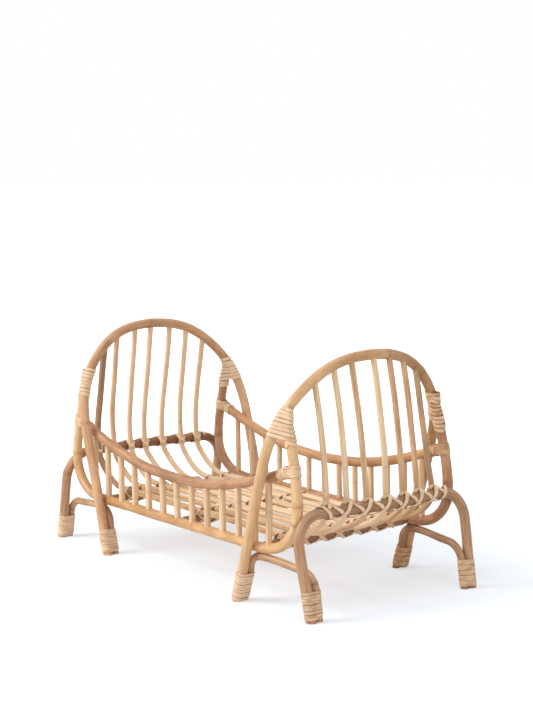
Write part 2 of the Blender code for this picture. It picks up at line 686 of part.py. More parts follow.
# Feet: each brace end is bound to the leg beside it
foot_gaps = []
for (end, side), brace in braces.items():
    end_sign, side_sign = ENDS[end], SIDES[side]
    brace_points = moved(BRACE, end_sign, side_sign)
    half = len(brace_points) // 2
    for place, leg_points, part in (("inner", moved(ARCH, end_sign, side_sign), brace_points[:half]),
                                    ("outer", moved(LEG, end_sign, side_sign), brace_points[half:])):
        this_leg = leg_points[len(leg_points) // 2:]
        up = np.array([0.0, 0.0, 1.0])
        axis = heading_at(this_leg, up, (FOOT_BINDING_LOW + FOOT_BINDING_HIGH) / 2)
        foot = at_level(this_leg, up, 0.0)
        high = at_level(this_leg, up, FOOT_BINDING_HIGH) @ axis
        low = at_level(this_leg, up, FOOT_BINDING_LOW) @ axis
        pitch = (high - low) / FOOT_TURNS
        points = bind_pair(this_leg, part, lambda level: FRAME_R, lambda level: BRACE_R, axis, high,
                           pitch, FOOT_TURNS, FOOT_REED)
        foot_gaps.append(least_gap(points, FOOT_REED, LOOP_POINTS))
        centre = at_level(part, axis, high)
        points.insert(0, points[0] + (centre - points[0]) * 0.5)
        name = "foot_binding_{}_{}_{}".format(end, side, place)
        strip = hide_as_guide(reed(name, points, FOOT_REED, axis, guides))
        combine(brace, strip, "UNION")
print("foot bindings, least gap to themselves: {:.2f} mm".format(1000 * min(foot_gaps)))

# Shoulders: each side frame end is bound to the hoop
def frame_radius_at(line, normal):
    """The cane's radius at a level, read low enough to cover a section that is cut askew."""
    steps = np.linalg.norm(np.diff(line, axis=0), axis=1)
    along = np.concatenate([[0.0], np.cumsum(steps)])

    def radius(level):
        nearest = int(np.argmin(np.abs(line @ normal - level)))
        from_end = min(along[nearest], along[-1] - along[nearest])
        whittled = min(1.0, (from_end + FRAME_R / 2) / SCARF_LENGTH)
        return FRAME_R * (SCARF_SHARE + (1 - SCARF_SHARE) * whittled)
    return radius


shoulder_gaps = []
for end, end_sign in ENDS.items():
    for side, side_sign in SIDES.items():
        up = np.array([0.0, 0.0, 1.0])
        hoop = moved(ARCH, end_sign, side_sign)
        hoop = hoop[len(hoop) // 2:]
        frame = moved(SIDE_FRAME, end_sign, side_sign)
        frame = frame[len(frame) * 3 // 4:]
        middle = SHOULDER_HIGH - SHOULDER_PITCH * SHOULDER_TURNS / 2
        axis = heading_at(hoop, up, middle) + heading_at(frame, up, middle)
        axis = axis / np.linalg.norm(axis)
        start = at_level(hoop, up, SHOULDER_HIGH) @ axis
        points = bind_pair(hoop, frame, lambda level: FRAME_R, frame_radius_at(frame, axis), axis,
                           start, SHOULDER_PITCH, SHOULDER_TURNS, SHOULDER_REED, SHOULDER_TAIL_TURNS)
        shoulder_gaps.append(least_gap(points, SHOULDER_REED, LOOP_POINTS))
        reed("shoulder_binding_{}_{}".format(end, side), points, SHOULDER_REED, axis)
print("shoulder bindings, least gap to themselves: {:.2f} mm".format(1000 * min(shoulder_gaps)))


# Tees: each top rail end is bound, and a second reed runs from it round the side frame
def heading_from(line, first, last):
    step = line[last] - line[first]
    return step / np.linalg.norm(step)


def back_along(line, distance):
    """The point at this distance from the line's last point, and the heading there."""
    for i in range(len(line) - 1, 0, -1):
        step = float(np.linalg.norm(line[i] - line[i - 1]))
        if distance <= step:
            return line[i] + (line[i - 1] - line[i]) * distance / step, heading_from(line, i - 1, i)
        distance -= step
    return line[0], heading_from(line, 0, 1)


def bind_rail_end(rail, start):
    """Points of a reed wound round the rail's end, from the middle of the bed outwards."""
    points = []
    for i in range(TEE_TURNS * SMALL_LOOP_POINTS + 1):
        turn = i / SMALL_LOOP_POINTS
        centre, heading = back_along(rail, start + TEE_PITCH * (TEE_TURNS - turn))
        beside = np.array([0.0, 1.0, 0.0])
        above = np.cross(beside, heading)
        above = above / np.linalg.norm(above)
        if above[2] < 0:
            above = -above
        angle = 2 * math.pi * turn
        direction = math.cos(angle) * above + math.sin(angle) * beside
        points.append(centre + reach_round(FRAME_R, SMALL_LOOP_POINTS) * direction)
    return points


def bind_tee_head(frame, level, start, rail_heading):
    """Points of a reed that crosses the back of the side frame four times, twice above the rail
    and twice below it on the side where the rail stands."""
    up = np.array([0.0, 0.0, 1.0])
    along = heading_at(frame, up, level)
    outward = rail_heading - (rail_heading @ along) * along
    outward = outward / np.linalg.norm(outward)
    middle = at_level(frame, up, level) @ along
    step = TEE_REED + TEE_LAP_GAP
    clear = FRAME_R + REED_CLEARANCE + step / 2
    inner = [clear + step, clear, -clear, -clear - step]
    outer = [1.5 * step, 0.5 * step, -0.5 * step, -1.5 * step]
    cane = [(frame, lambda height: FRAME_R)]
    points = []
    for i in range(int(3.5 * SMALL_LOOP_POINTS) + 1):
        turn = i / SMALL_LOOP_POINTS
        lap = min(int(turn), 3)
        share = turn - lap
        blend = (1 - math.cos(2 * math.pi * share)) / 2
        shoulder = inner[lap] if share < 0.5 else inner[min(lap + 1, 3)]
        height = shoulder + (outer[lap] - shoulder) * blend
        ways = ways_round(along, -outward, share - 0.5 / SMALL_LOOP_POINTS, 1 / SMALL_LOOP_POINTS)
        points.append(turn_corner(cane, along, middle + height, TEE_REED, ways))
    return [start] + points


tee_gaps = []
for side, side_sign in SIDES.items():
    for end, end_sign in ENDS.items():
        rail = moved(TOP_RAIL, end_sign, side_sign)
        rail = rail[len(rail) // 2:]
        frame = moved(SIDE_FRAME, end_sign, side_sign)
        frame = frame[len(frame) * 3 // 4:]
        start = FRAME_R + REED_CLEARANCE + REED_THICKNESS + TEE_REED
        points = bind_rail_end(rail, start)
        tee_gaps.append(least_gap(points, TEE_REED, SMALL_LOOP_POINTS))
        rail_heading = back_along(rail, start)[1]
        lap_start = points[-1]
        points.insert(0, points[0] + (back_along(rail, start + TEE_PITCH * TEE_TURNS)[0] - points[0]) / 2)
        name = "rail_binding_{}_{}".format(end, side)
        combine(top_rails[side], hide_as_guide(reed(name, points, TEE_REED, rail_heading, guides)), "UNION")
        up = np.array([0.0, 0.0, 1.0])
        points = bind_tee_head(frame, TOP_RAIL_END_Z, lap_start, rail_heading)
        tee_gaps.append(least_gap(points[1:], TEE_REED, SMALL_LOOP_POINTS))
        name = "tee_binding_{}_{}".format(end, side)
        strip = reed(name, points, TEE_REED, heading_at(frame, up, TOP_RAIL_END_Z), guides)
        combine(top_rails[side], hide_as_guide(strip), "UNION")
print("tee bindings, least gap to themselves: {:.2f} mm".format(1000 * min(tee_gaps)))


# Cross rails: one reed crosses every cane twice, out along the rail and back over itself
def lashing_place(canes, i, share, angle, layer):
    """One point of a loop, over a cane or beside it round the cross rail."""
    lift = layer * (REED_THICKNESS + REED_LAYER_GAP)
    y = canes[i][-1, 1] + share * CANE_PITCH
    if abs(angle) >= 150:
        over_cane = END_R + LASHING_CLEARANCE + REED_THICKNESS / 2 + lift
        z = LEG_RAIL_Z
        if abs(angle) == 150:
            z += math.copysign(LASHING_RISE, angle)
            over_cane -= END_R / 3
        cane_x = at_level(canes[i], np.array([0.0, 0.0, 1.0]), z)[0]
        return cane_x - over_cane, y, z
    reach = reach_round(FRAME_R, SMALL_LOOP_POINTS) + lift
    turn = math.radians(angle)
    return rail_place(LEG, y) + reach * math.cos(turn), y, LEG_RAIL_Z + reach * math.sin(turn)


def lashing_points(canes):
    """A whole lashing, from the first cane in the row to the last and back."""
    lead, out, back = [], [], []
    for share, angle in LASHING_LOOP_SHARES[-2:]:
        lead.append(lashing_place(canes, 0, max(share - 1, -LASHING_END_SHARE), angle, 0))
    for i in range(CANE_COUNT):
        for share, angle in LASHING_LOOP_SHARES:
            if share <= 0.5:
                share = min(share, LASHING_END_SHARE) if i == CANE_COUNT - 1 else share
                out.append(lashing_place(canes, i, share, angle, 0))
            elif i < CANE_COUNT - 1:
                out.append(lashing_place(canes, i + 1, share - 1, angle, 0))
    for i in reversed(range(CANE_COUNT)):
        for share, angle in LASHING_LOOP_SHARES[5:] + LASHING_LOOP_SHARES[:5]:
            offset = 1 - share if share > 0.5 else -share
            if i == CANE_COUNT - 1:
                offset = min(offset, LASHING_END_SHARE)
            if i == 0:
                offset = max(offset, -LASHING_END_SHARE)
            back.append(lashing_place(canes, i, offset, angle, 1))
    return lead, out, back


lashing_gaps = []
for end, end_sign in ENDS.items():
    canes = [end_cane_line(end, i) * np.array([1.0, end_sign, 1.0]) for i in range(CANE_COUNT)]
    lead, out, back = lashing_points(canes[::end_sign])
    crossing = np.linalg.norm(np.array(out)[:, None] - np.array(back)[None], axis=2)
    lashing_gaps.append(crossing.min() - REED_THICKNESS)
    start_x = rail_place(LEG, lead[0][1])
    nailed = (start_x, lead[0][1], LEG_RAIL_Z - FRAME_R + 2 * REED_ANCHOR)
    points = np.array([nailed] + lead + out + back) * np.array([end_sign, end_sign, 1.0])
    strip = hide_as_guide(reed("lashing_" + end, list(points), LASHING_REED, (0.0, end_sign, 0.0), guides))
    combine(leg_frames[end], strip, "UNION")
print("lashings, least gap to themselves: {:.2f} mm".format(1000 * min(lashing_gaps)))
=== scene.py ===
"""Dresses the doll bed of bent rattan for its picture.

Every cane is made straight, with its joints and its cut ends, and then bent along its line. The
reeds are wound turn by turn. The foot end is +X, the near side -Y, lengths are in metres.
"""
import math
import random

import bmesh
import bpy
import numpy as np
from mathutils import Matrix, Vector


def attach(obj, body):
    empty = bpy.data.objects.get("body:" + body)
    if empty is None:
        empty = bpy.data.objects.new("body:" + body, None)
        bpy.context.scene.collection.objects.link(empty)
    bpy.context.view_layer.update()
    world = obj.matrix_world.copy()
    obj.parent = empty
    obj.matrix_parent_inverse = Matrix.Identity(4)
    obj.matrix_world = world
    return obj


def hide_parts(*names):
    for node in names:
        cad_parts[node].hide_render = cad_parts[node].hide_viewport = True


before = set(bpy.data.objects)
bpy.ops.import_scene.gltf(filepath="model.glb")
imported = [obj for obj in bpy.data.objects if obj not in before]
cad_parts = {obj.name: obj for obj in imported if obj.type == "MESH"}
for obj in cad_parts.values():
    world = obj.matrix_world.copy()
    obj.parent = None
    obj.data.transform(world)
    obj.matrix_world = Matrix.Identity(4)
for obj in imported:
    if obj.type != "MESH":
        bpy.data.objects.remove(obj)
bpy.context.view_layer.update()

# Cane and reed stock
FRAME_R = 0.0063               # hoops, side frames, top rails and leg frames
BRACE_R = 0.0047
BAR_R = 0.00575
END_R = 0.00365                # long canes of the ends
BASE_R = 0.0031                # and their thinner lengths on the base
SPINDLE_R = {"near": 0.0041, "far": 0.0036}    # the near ones are a little stouter
FIT_GAP = 0.0003

# The same lines as the solids have
ARCH_HEIGHT = {"head": 0.2937, "foot": 0.2945}
ARCH_HALF_SPAN = 0.1335
ARCH_FOOT_X = 0.1425
ARCH_CROWN_X = 0.2296
ARCH_SWAY = {"head": -0.0018, "foot": 0.0}     # sideways lean of each hoop over its height
ARCH_HALF_SHARES = [(0.0, 1.0), (0.203, 0.9935), (0.406, 0.970), (0.599, 0.922), (0.763, 0.855),
                    (0.892, 0.774), (0.968, 0.686), (0.999, 0.590), (1.004, 0.49), (1.0, 0.30),
                    (1.0, 0.14), (1.0, 0.0)]
SIDE_Y = ARCH_HALF_SPAN - 2 * FRAME_R - FIT_GAP
SIDE_RAIL_Z = 0.0690
SIDE_HALF_LENGTH = 0.2392
SIDE_RISE = 0.1700
SIDE_LEAN = {"head": 0.0030, "foot": 0.0050}   # how far each end of a side leans inwards
SIDE_HALF_SHARES = [(0.0, 0.0), (0.30, 0.0), (0.60, 0.0), (0.78, 0.006), (0.872, 0.039),
                    (0.950, 0.118), (0.990, 0.209), (1.0, 0.291), (0.996, 0.408), (0.978, 0.553),
                    (0.952, 0.699), (0.930, 0.815), (0.917, 0.893), (0.902, 1.0)]
SCARF_SHARE = 0.40
SCARF_LENGTH = 0.030
TOP_RAIL_MID_Z = 0.1238
TOP_RAIL_END_Z = 0.1682
TOP_RAIL_SHARES = [(0.0, 0.0), (0.16, 0.020), (0.31, 0.083), (0.46, 0.210), (0.62, 0.395),
                   (0.76, 0.595), (0.88, 0.800), (1.0, 1.0)]
LEG_RAIL_Z = 0.1197
LEG_BEND = 0.0345
LEG_HALF_SPAN = {"head": 0.1290, "foot": 0.1307}
LEG_FOOT_HALF_SPAN = 0.1271
LEG_SPLAY = 0.0205
LEG_SWAY = {"head": (0.0018, 0.0), "foot": (0.0, 0.0035)}    # sideways, at the rail and the feet
LEG_RAIL_X = 0.24997
FLOOR_OVERRUN = FRAME_R
RAIL_BOW = {"head": 0.0065, "foot": 0.0135}    # each cross rail is bent by hand
BRACE_TOP_DROP = 0.0036
BRACE_INNER_BEND = 0.0190
BRACE_OUTER_BEND = 0.0270
BRACE_TOP_Z = SIDE_RAIL_Z - FRAME_R - BRACE_R - FIT_GAP
BRACE_SPACING = FRAME_R + BRACE_R + FIT_GAP
BAR_SPREAD = 0.1673
BASE_CANE_Z = 0.0770
BAR_Z = BASE_CANE_Z - BASE_R - BAR_R - FIT_GAP
CANE_COUNT = 7
CANE_PITCH = 0.0278
PAIR_OFFSET = END_R + FIT_GAP / 2
BASE_PAIR_OFFSET = BASE_R + FIT_GAP
CANE_OVERRUN = 0.0130
CANE_BEND_SHARES = {
    "head": [(0.0, 0.0), (0.03, 0.16), (0.12, 0.33), (0.30, 0.585), (0.52, 0.815), (0.76, 0.96),
             (1.0, 1.0)],
    "foot": [(0.0, 0.0), (0.01, 0.17), (0.065, 0.33), (0.23, 0.585), (0.47, 0.815), (0.755, 0.96),
             (1.0, 1.0)],
}
CANE_TOP_SHARES = {
    "head": (0.10, -0.07, 0.05, 0.0, 0.12, 0.08, 0.0),
    "foot": (-0.06, -0.14, -0.24, -0.05, -0.12, -0.24, -0.40),
}
CANE_RAIL_SHARES = {           # the canes are not evenly spaced along the cross rails either
    "head": (0.13, 0.10, 0.13, 0.0, 0.05, 0.17, 0.10),
    "foot": (-0.04, -0.03, -0.05, 0.0, 0.02, -0.02, 0.0),
}
SPINDLE_COUNT = 13
SPINDLE_PITCH = 0.0320
SPINDLE_LEAN = {"near": (0.0016, -0.0027), "far": (0.0, 0.0)}    # along the side, low and high
LAST_SPINDLE_INSET = 0.0050    # the last near one stands closer to the hoop's leg
ENDS = {"head": -1, "foot": 1}
SIDES = {"near": -1, "far": 1}
UP = np.array([0.0, 0.0, 1.0])
ALONG_X = np.array([1.0, 0.0, 0.0])
ALONG_Y = np.array([0.0, 1.0, 0.0])

# Reeds
REED_THICKNESS = 0.0009
FOOT_REED = 0.0035
SHOULDER_REED = 0.0046
TEE_REED = 0.0036
LASHING_REED = {"head": 0.0045, "foot": 0.0049}
BAR_REED = 0.0046
REED_LIFT = 0.0001             # of a wound reed off its cane
LASHING_LIFT = 0.0002          # of a crossed lashing off its rail or bar


# Centre lines
def spline_through(points, steps=240):
    """A natural cubic through the points, by chord length, read at even steps."""
    points = np.array(points, dtype=float)
    chords = np.linalg.norm(np.diff(points, axis=0), axis=1)
    knots = np.concatenate([[0.0], np.cumsum(chords)])
    count = len(points)
    system = np.zeros((count, count))
    slopes = np.zeros_like(points)
    system[0, 0] = system[-1, -1] = 1.0
    for i in range(1, count - 1):
        system[i, i - 1] = chords[i - 1]
        system[i, i] = 2 * (chords[i - 1] + chords[i])
        system[i, i + 1] = chords[i]
        after = (points[i + 1] - points[i]) / chords[i]
        before = (points[i] - points[i - 1]) / chords[i - 1]
        slopes[i] = 6 * (after - before)
    curvature = np.linalg.solve(system, slopes)
    samples = []
    for t in np.linspace(0.0, knots[-1], steps + 1):
        i = min(int(np.searchsorted(knots, t, side="right")) - 1, count - 2)
        width = chords[i]
        right = (t - knots[i]) / width
        left = 1 - right
        value = left * points[i] + right * points[i + 1]
        value = value + ((left ** 3 - left) * curvature[i]
                         + (right ** 3 - right) * curvature[i + 1]) * width ** 2 / 6
        samples.append(value)
    return np.array(samples)


def mirrored_half(half, axis):
    """The whole line of a symmetric piece, from the half that starts at the middle."""
    other = half.copy()
    other[:, axis] *= -1
    return np.concatenate([other[::-1], half[1:]])


def moved(line, end=1, side=1):
    """The same line at the head or foot end, and on the near or far side."""
    return line * np.array([end, side, 1.0])


def at_level(line, normal, level):
    """Where a centre line crosses the plane at this level along the normal."""
    heights = line @ normal - level
    for i in range(len(line) - 1):
        if heights[i] == 0 or heights[i] * heights[i + 1] < 0:
            share = heights[i] / (heights[i] - heights[i + 1])
            return line[i] + (line[i + 1] - line[i]) * share
    return line[int(np.argmin(np.abs(heights)))]


def heading_at(line, normal, level):
    """The unit direction of a centre line near that plane, on the normal's side."""
    nearest = int(np.argmin(np.abs(line @ normal - level)))
    nearest = min(max(nearest, 1), len(line) - 2)
    step = line[nearest + 1] - line[nearest - 1]
    step = step / np.linalg.norm(step)
    return step if step @ normal > 0 else -step


def outer_quarter(line, end, side):
    """The outer quarter of a side's line at one end, from the middle outwards."""
    line = moved(line[::ENDS[end]], side=SIDES[side])
    return line[len(line) * 3 // 4:]


def lengths_along(line):
    return np.concatenate([[0.0], np.cumsum(np.linalg.norm(np.diff(line, axis=0), axis=1))])


def eased(share):
    """From nought to one, level at both."""
    return share ** 2 * (3 - 2 * share)


def whittled_share(from_end):
    """What is left of a side frame's thickness, this far from its upper end."""
    return SCARF_SHARE + (1 - SCARF_SHARE) * min(1.0, from_end / SCARF_LENGTH)


def arch_line(end):
    height = ARCH_HEIGHT[end]
    half = spline_through([(y * ARCH_HALF_SPAN, z * height) for y, z in ARCH_HALF_SHARES])
    lean = (ARCH_CROWN_X - ARCH_FOOT_X) / height
    points = np.array([(ARCH_FOOT_X + lean * z, y, z) for y, z in half])
    below = points[-1] + np.array([-lean, 0.0, -1.0]) * FLOOR_OVERRUN
    line = mirrored_half(np.vstack([points, below]), 1)
    line[:, 1] += ARCH_SWAY[end] * np.clip(line[:, 2] / height, 0.0, 1.0)
    return line


def outside(line, y, z, reach):
    """The least x at this y and z that keeps the reach from every point of the line."""
    room = reach ** 2 - (line[:, 1] - y) ** 2 - (line[:, 2] - z) ** 2
    near = room > 0
    if not near.any():
        return 0.0
    return float(np.max(line[near, 0] + np.sqrt(room[near])))


def side_y(x, z):
    """A side stands on its straight bottom rail and leans inwards as it rises."""
    return SIDE_Y - SIDE_LEAN["foot" if x > 0 else "head"] * (z - SIDE_RAIL_Z) / SIDE_RISE


def side_frame_line(side):
    """Above the top rails the ends lie against the outside of the hoop."""
    top = SIDE_RAIL_Z + SIDE_RISE
    controls = [(x * SIDE_HALF_LENGTH, SIDE_RAIL_Z + z * SIDE_RISE) for x, z in SIDE_HALF_SHARES]
    halves = {}
    for end, sign in ENDS.items():
        arch = moved(ARCHES[end], side=SIDES[side])
        halves[end] = []
        for x, z in spline_through(controls):
            y = side_y(sign, z)
            if z > TOP_RAIL_END_Z:
                reach = FRAME_R * (1 + whittled_share(top - z)) + FIT_GAP
                x = max(x, outside(arch, y, z, reach))
            halves[end].append((sign * x, y, z))
    return np.array(halves["head"][:0:-1] + halves["foot"])


def top_rail_line(side_frame):
    outer = side_frame[len(side_frame) // 2:]
    outer = outer[outer[:, 0] > SIDE_HALF_LENGTH / 2]
    end_x = at_level(outer, UP, TOP_RAIL_END_Z)[0] - FRAME_R / 2
    rise = TOP_RAIL_END_Z - TOP_RAIL_MID_Z
    half = spline_through([(x * end_x, TOP_RAIL_MID_Z + z * rise) for x, z in TOP_RAIL_SHARES])
    whole = mirrored_half(half, 0)
    return np.array([(x, side_y(x, z), z) for x, z in whole])


def leg_line(end):
    half_span = LEG_HALF_SPAN[end]
    bend_y = half_span - LEG_BEND
    bend_z = LEG_RAIL_Z - LEG_BEND
    half = [(bend_y * share, LEG_RAIL_Z) for share in np.linspace(0.0, 1.0, 61)[:-1]]
    for angle in np.linspace(0.0, math.pi / 2, 37):
        half.append((bend_y + LEG_BEND * math.sin(angle), bend_z + LEG_BEND * math.cos(angle)))
    bows = [RAIL_BOW[end] * (1 + math.cos(math.pi * y / half_span)) / 2 for y, z in half]
    for share in np.linspace(0.0, 1.0, 25)[1:]:
        half.append((half_span + (LEG_FOOT_HALF_SPAN - half_span) * eased(share),
                     bend_z * (1 - share)))
    half.append((LEG_FOOT_HALF_SPAN, -FLOOR_OVERRUN))
    bows += [0.0] * (len(half) - len(bows))
    points = []
    for out, (y, z) in zip(bows, half):
        points.append((LEG_RAIL_X + out + LEG_SPLAY * (1 - z / LEG_RAIL_Z), y, z))
    line = mirrored_half(np.array(points), 1)
    at_rail, at_feet = LEG_SWAY[end]
    line[:, 1] += at_feet + (at_rail - at_feet) * np.clip(line[:, 2] / LEG_RAIL_Z, 0.0, 1.0)
    return line


def outer_half(line, end, side):
    """The half of a hoop or leg frame on one side, from its middle down to the foot."""
    line = moved(line[::SIDES[side]], ENDS[end])
    return line[len(line) // 2:]


def brace_line(end, side):
    mirror = np.array([ENDS[end], SIDES[side], 1.0])
    leg = outer_half(LEGS[end], end, side) * mirror
    inner_leg = at_level(outer_half(ARCHES[end], end, side) * mirror, UP, 0.0)
    outer_leg = at_level(leg, UP, 0.0)
    inner_lean = (ARCH_CROWN_X - ARCH_FOOT_X) / ARCH_HEIGHT[end]
    outer_lean = -LEG_SPLAY / LEG_RAIL_Z
    inner_y = inner_leg[1] - BRACE_SPACING
    outer_y = outer_leg[1] - BRACE_SPACING
    inner_z = BRACE_TOP_Z - BRACE_INNER_BEND
    outer_z = BRACE_TOP_Z - BRACE_TOP_DROP - BRACE_OUTER_BEND
    profile = [(inner_leg[0] + inner_lean * z, z)
               for z in (-FLOOR_OVERRUN, 0.0, inner_z / 2, inner_z)]
    start_x = inner_leg[0] + inner_lean * inner_z
    for angle in np.linspace(0.0, math.pi / 2, 9)[1:]:
        profile.append((start_x + BRACE_INNER_BEND * (1 - math.cos(angle)),
                        inner_z + BRACE_INNER_BEND * math.sin(angle)))
    stop_x = outer_leg[0] + outer_lean * outer_z
    for angle in np.linspace(math.pi / 2, 0.0, 9)[:-1]:
        profile.append((stop_x - BRACE_OUTER_BEND * (1 - math.cos(angle)),
                        outer_z + BRACE_OUTER_BEND * math.sin(angle)))
    for z in (outer_z, outer_z / 2, 0.0, -FLOOR_OVERRUN):
        profile.append((outer_leg[0] + outer_lean * z, z))
    line = spline_through(profile)
    shares = np.clip((line[:, 0] - inner_leg[0]) / (outer_leg[0] - inner_leg[0]), 0.0, 1.0)
    upward = leg[::-1]
    beside_leg = np.interp(line[:, 1], upward[:, 2], upward[:, 1]) - BRACE_SPACING
    sideways = inner_y + (np.minimum(outer_y, beside_leg) - inner_y) * eased(shares)
    return np.column_stack([line[:, 0], sideways, line[:, 1]]) * mirror


def cross_rail(leg):
    """The level part of a leg frame's line, and the start of its bends."""
    return leg[leg[:, 2] > LEG_RAIL_Z - FRAME_R]


def rail_place(leg, y):
    """The x of a bowed cross rail's centre at this y."""
    rail = cross_rail(leg)
    return float(np.interp(y, rail[:, 1], rail[:, 0]))


def end_cane_line(end, cane):
    """From the hoop down inside the cross rail, round the bend and along the base."""
    y = (cane - (CANE_COUNT - 1) / 2) * CANE_PITCH + ENDS[end] * PAIR_OFFSET
    at_rail = CANE_RAIL_SHARES[end][cane] * CANE_PITCH
    at_top = CANE_TOP_SHARES[end][cane] * CANE_PITCH
    rail = cross_rail(LEGS[end])
    room = (FRAME_R + END_R + FIT_GAP) ** 2 - (rail[:, 1] - y - at_rail) ** 2
    near = room > 0
    cane_x = float(np.min(rail[near, 0] - np.sqrt(room[near])))
    top_half = ARCHES[end][ARCHES[end][:, 2] > ARCH_HEIGHT[end] / 2]
    top = at_level(top_half, ALONG_Y, y + at_top)
    profile = [(top[0], top[2]), ((top[0] + 3 * cane_x) / 4, (top[2] + LEG_RAIL_Z) / 2)]
    for x, z in CANE_BEND_SHARES[end]:
        profile.append((cane_x - x * (cane_x - BAR_SPREAD),
                        LEG_RAIL_Z - z * (LEG_RAIL_Z - BASE_CANE_Z)))
    bend = spline_through(profile)
    flat = [(x, BASE_CANE_Z) for x in np.linspace(BAR_SPREAD, -BAR_SPREAD - CANE_OVERRUN, 60)[1:]]
    line = np.vstack([bend, flat])
    held = LEG_RAIL_Z + 2 * FRAME_R
    rise = np.clip((line[:, 1] - held) / (top[2] - held), 0.0, 1.0)
    fall = np.clip((LEG_RAIL_Z - line[:, 1]) / (LEG_RAIL_Z - BASE_CANE_Z), 0.0, 1.0)
    aside = at_rail * (1 - eased(fall)) + (at_top - at_rail) * (1 - (1 - rise) ** 3)
    aside = aside - ENDS[end] * (PAIR_OFFSET - BASE_PAIR_OFFSET) * eased(fall)
    return moved(np.column_stack([line[:, 0], y + aside, line[:, 1]]), ENDS[end])


ARCHES = {end: arch_line(end) for end in ENDS}
SIDE_FRAMES = {side: side_frame_line(side) for side in SIDES}
TOP_RAILS = {side: top_rail_line(SIDE_FRAMES[side]) for side in SIDES}
LEGS = {end: leg_line(end) for end in ENDS}
BRACES = {(end, side): brace_line(end, side) for end in ENDS for side in SIDES}
END_CANES = {(end, i): end_cane_line(end, i) for end in ENDS for i in range(CANE_COUNT)}


# Materials
def linear(code):
    """A colour written as sRGB hex, turned to linear."""
    parts = [int(code[i:i + 2], 16) / 255 for i in (1, 3, 5)]
    return [p / 12.92 if p <= 0.04045 else ((p + 0.055) / 1.055) ** 2.4 for p in parts] + [1.0]


def add(tree, kind, inputs=None, **settings):
    """One node with its settings, and its sockets set or linked."""
    made = tree.nodes.new(kind)
    for key, value in settings.items():
        setattr(made, key, value)
    for key, value in (inputs or {}).items():
        if isinstance(value, bpy.types.NodeSocket):
            tree.links.new(value, made.inputs[key])
        else:
            made.inputs[key].default_value = value
    return made


def blank(name):
    material = bpy.data.materials.new(name)
    material.use_nodes = True
    return material, material.node_tree, material.node_tree.nodes["Principled BSDF"]


def ramp(tree, value, stops):
    made = add(tree, "ShaderNodeValToRGB", {"Fac": value})
    band = made.color_ramp
    while len(band.elements) < len(stops):
        band.elements.new(0.5)
    for element, (place, colour) in zip(band.elements, stops):
        element.position = place
        element.color = linear(colour)
    return made.outputs["Color"]


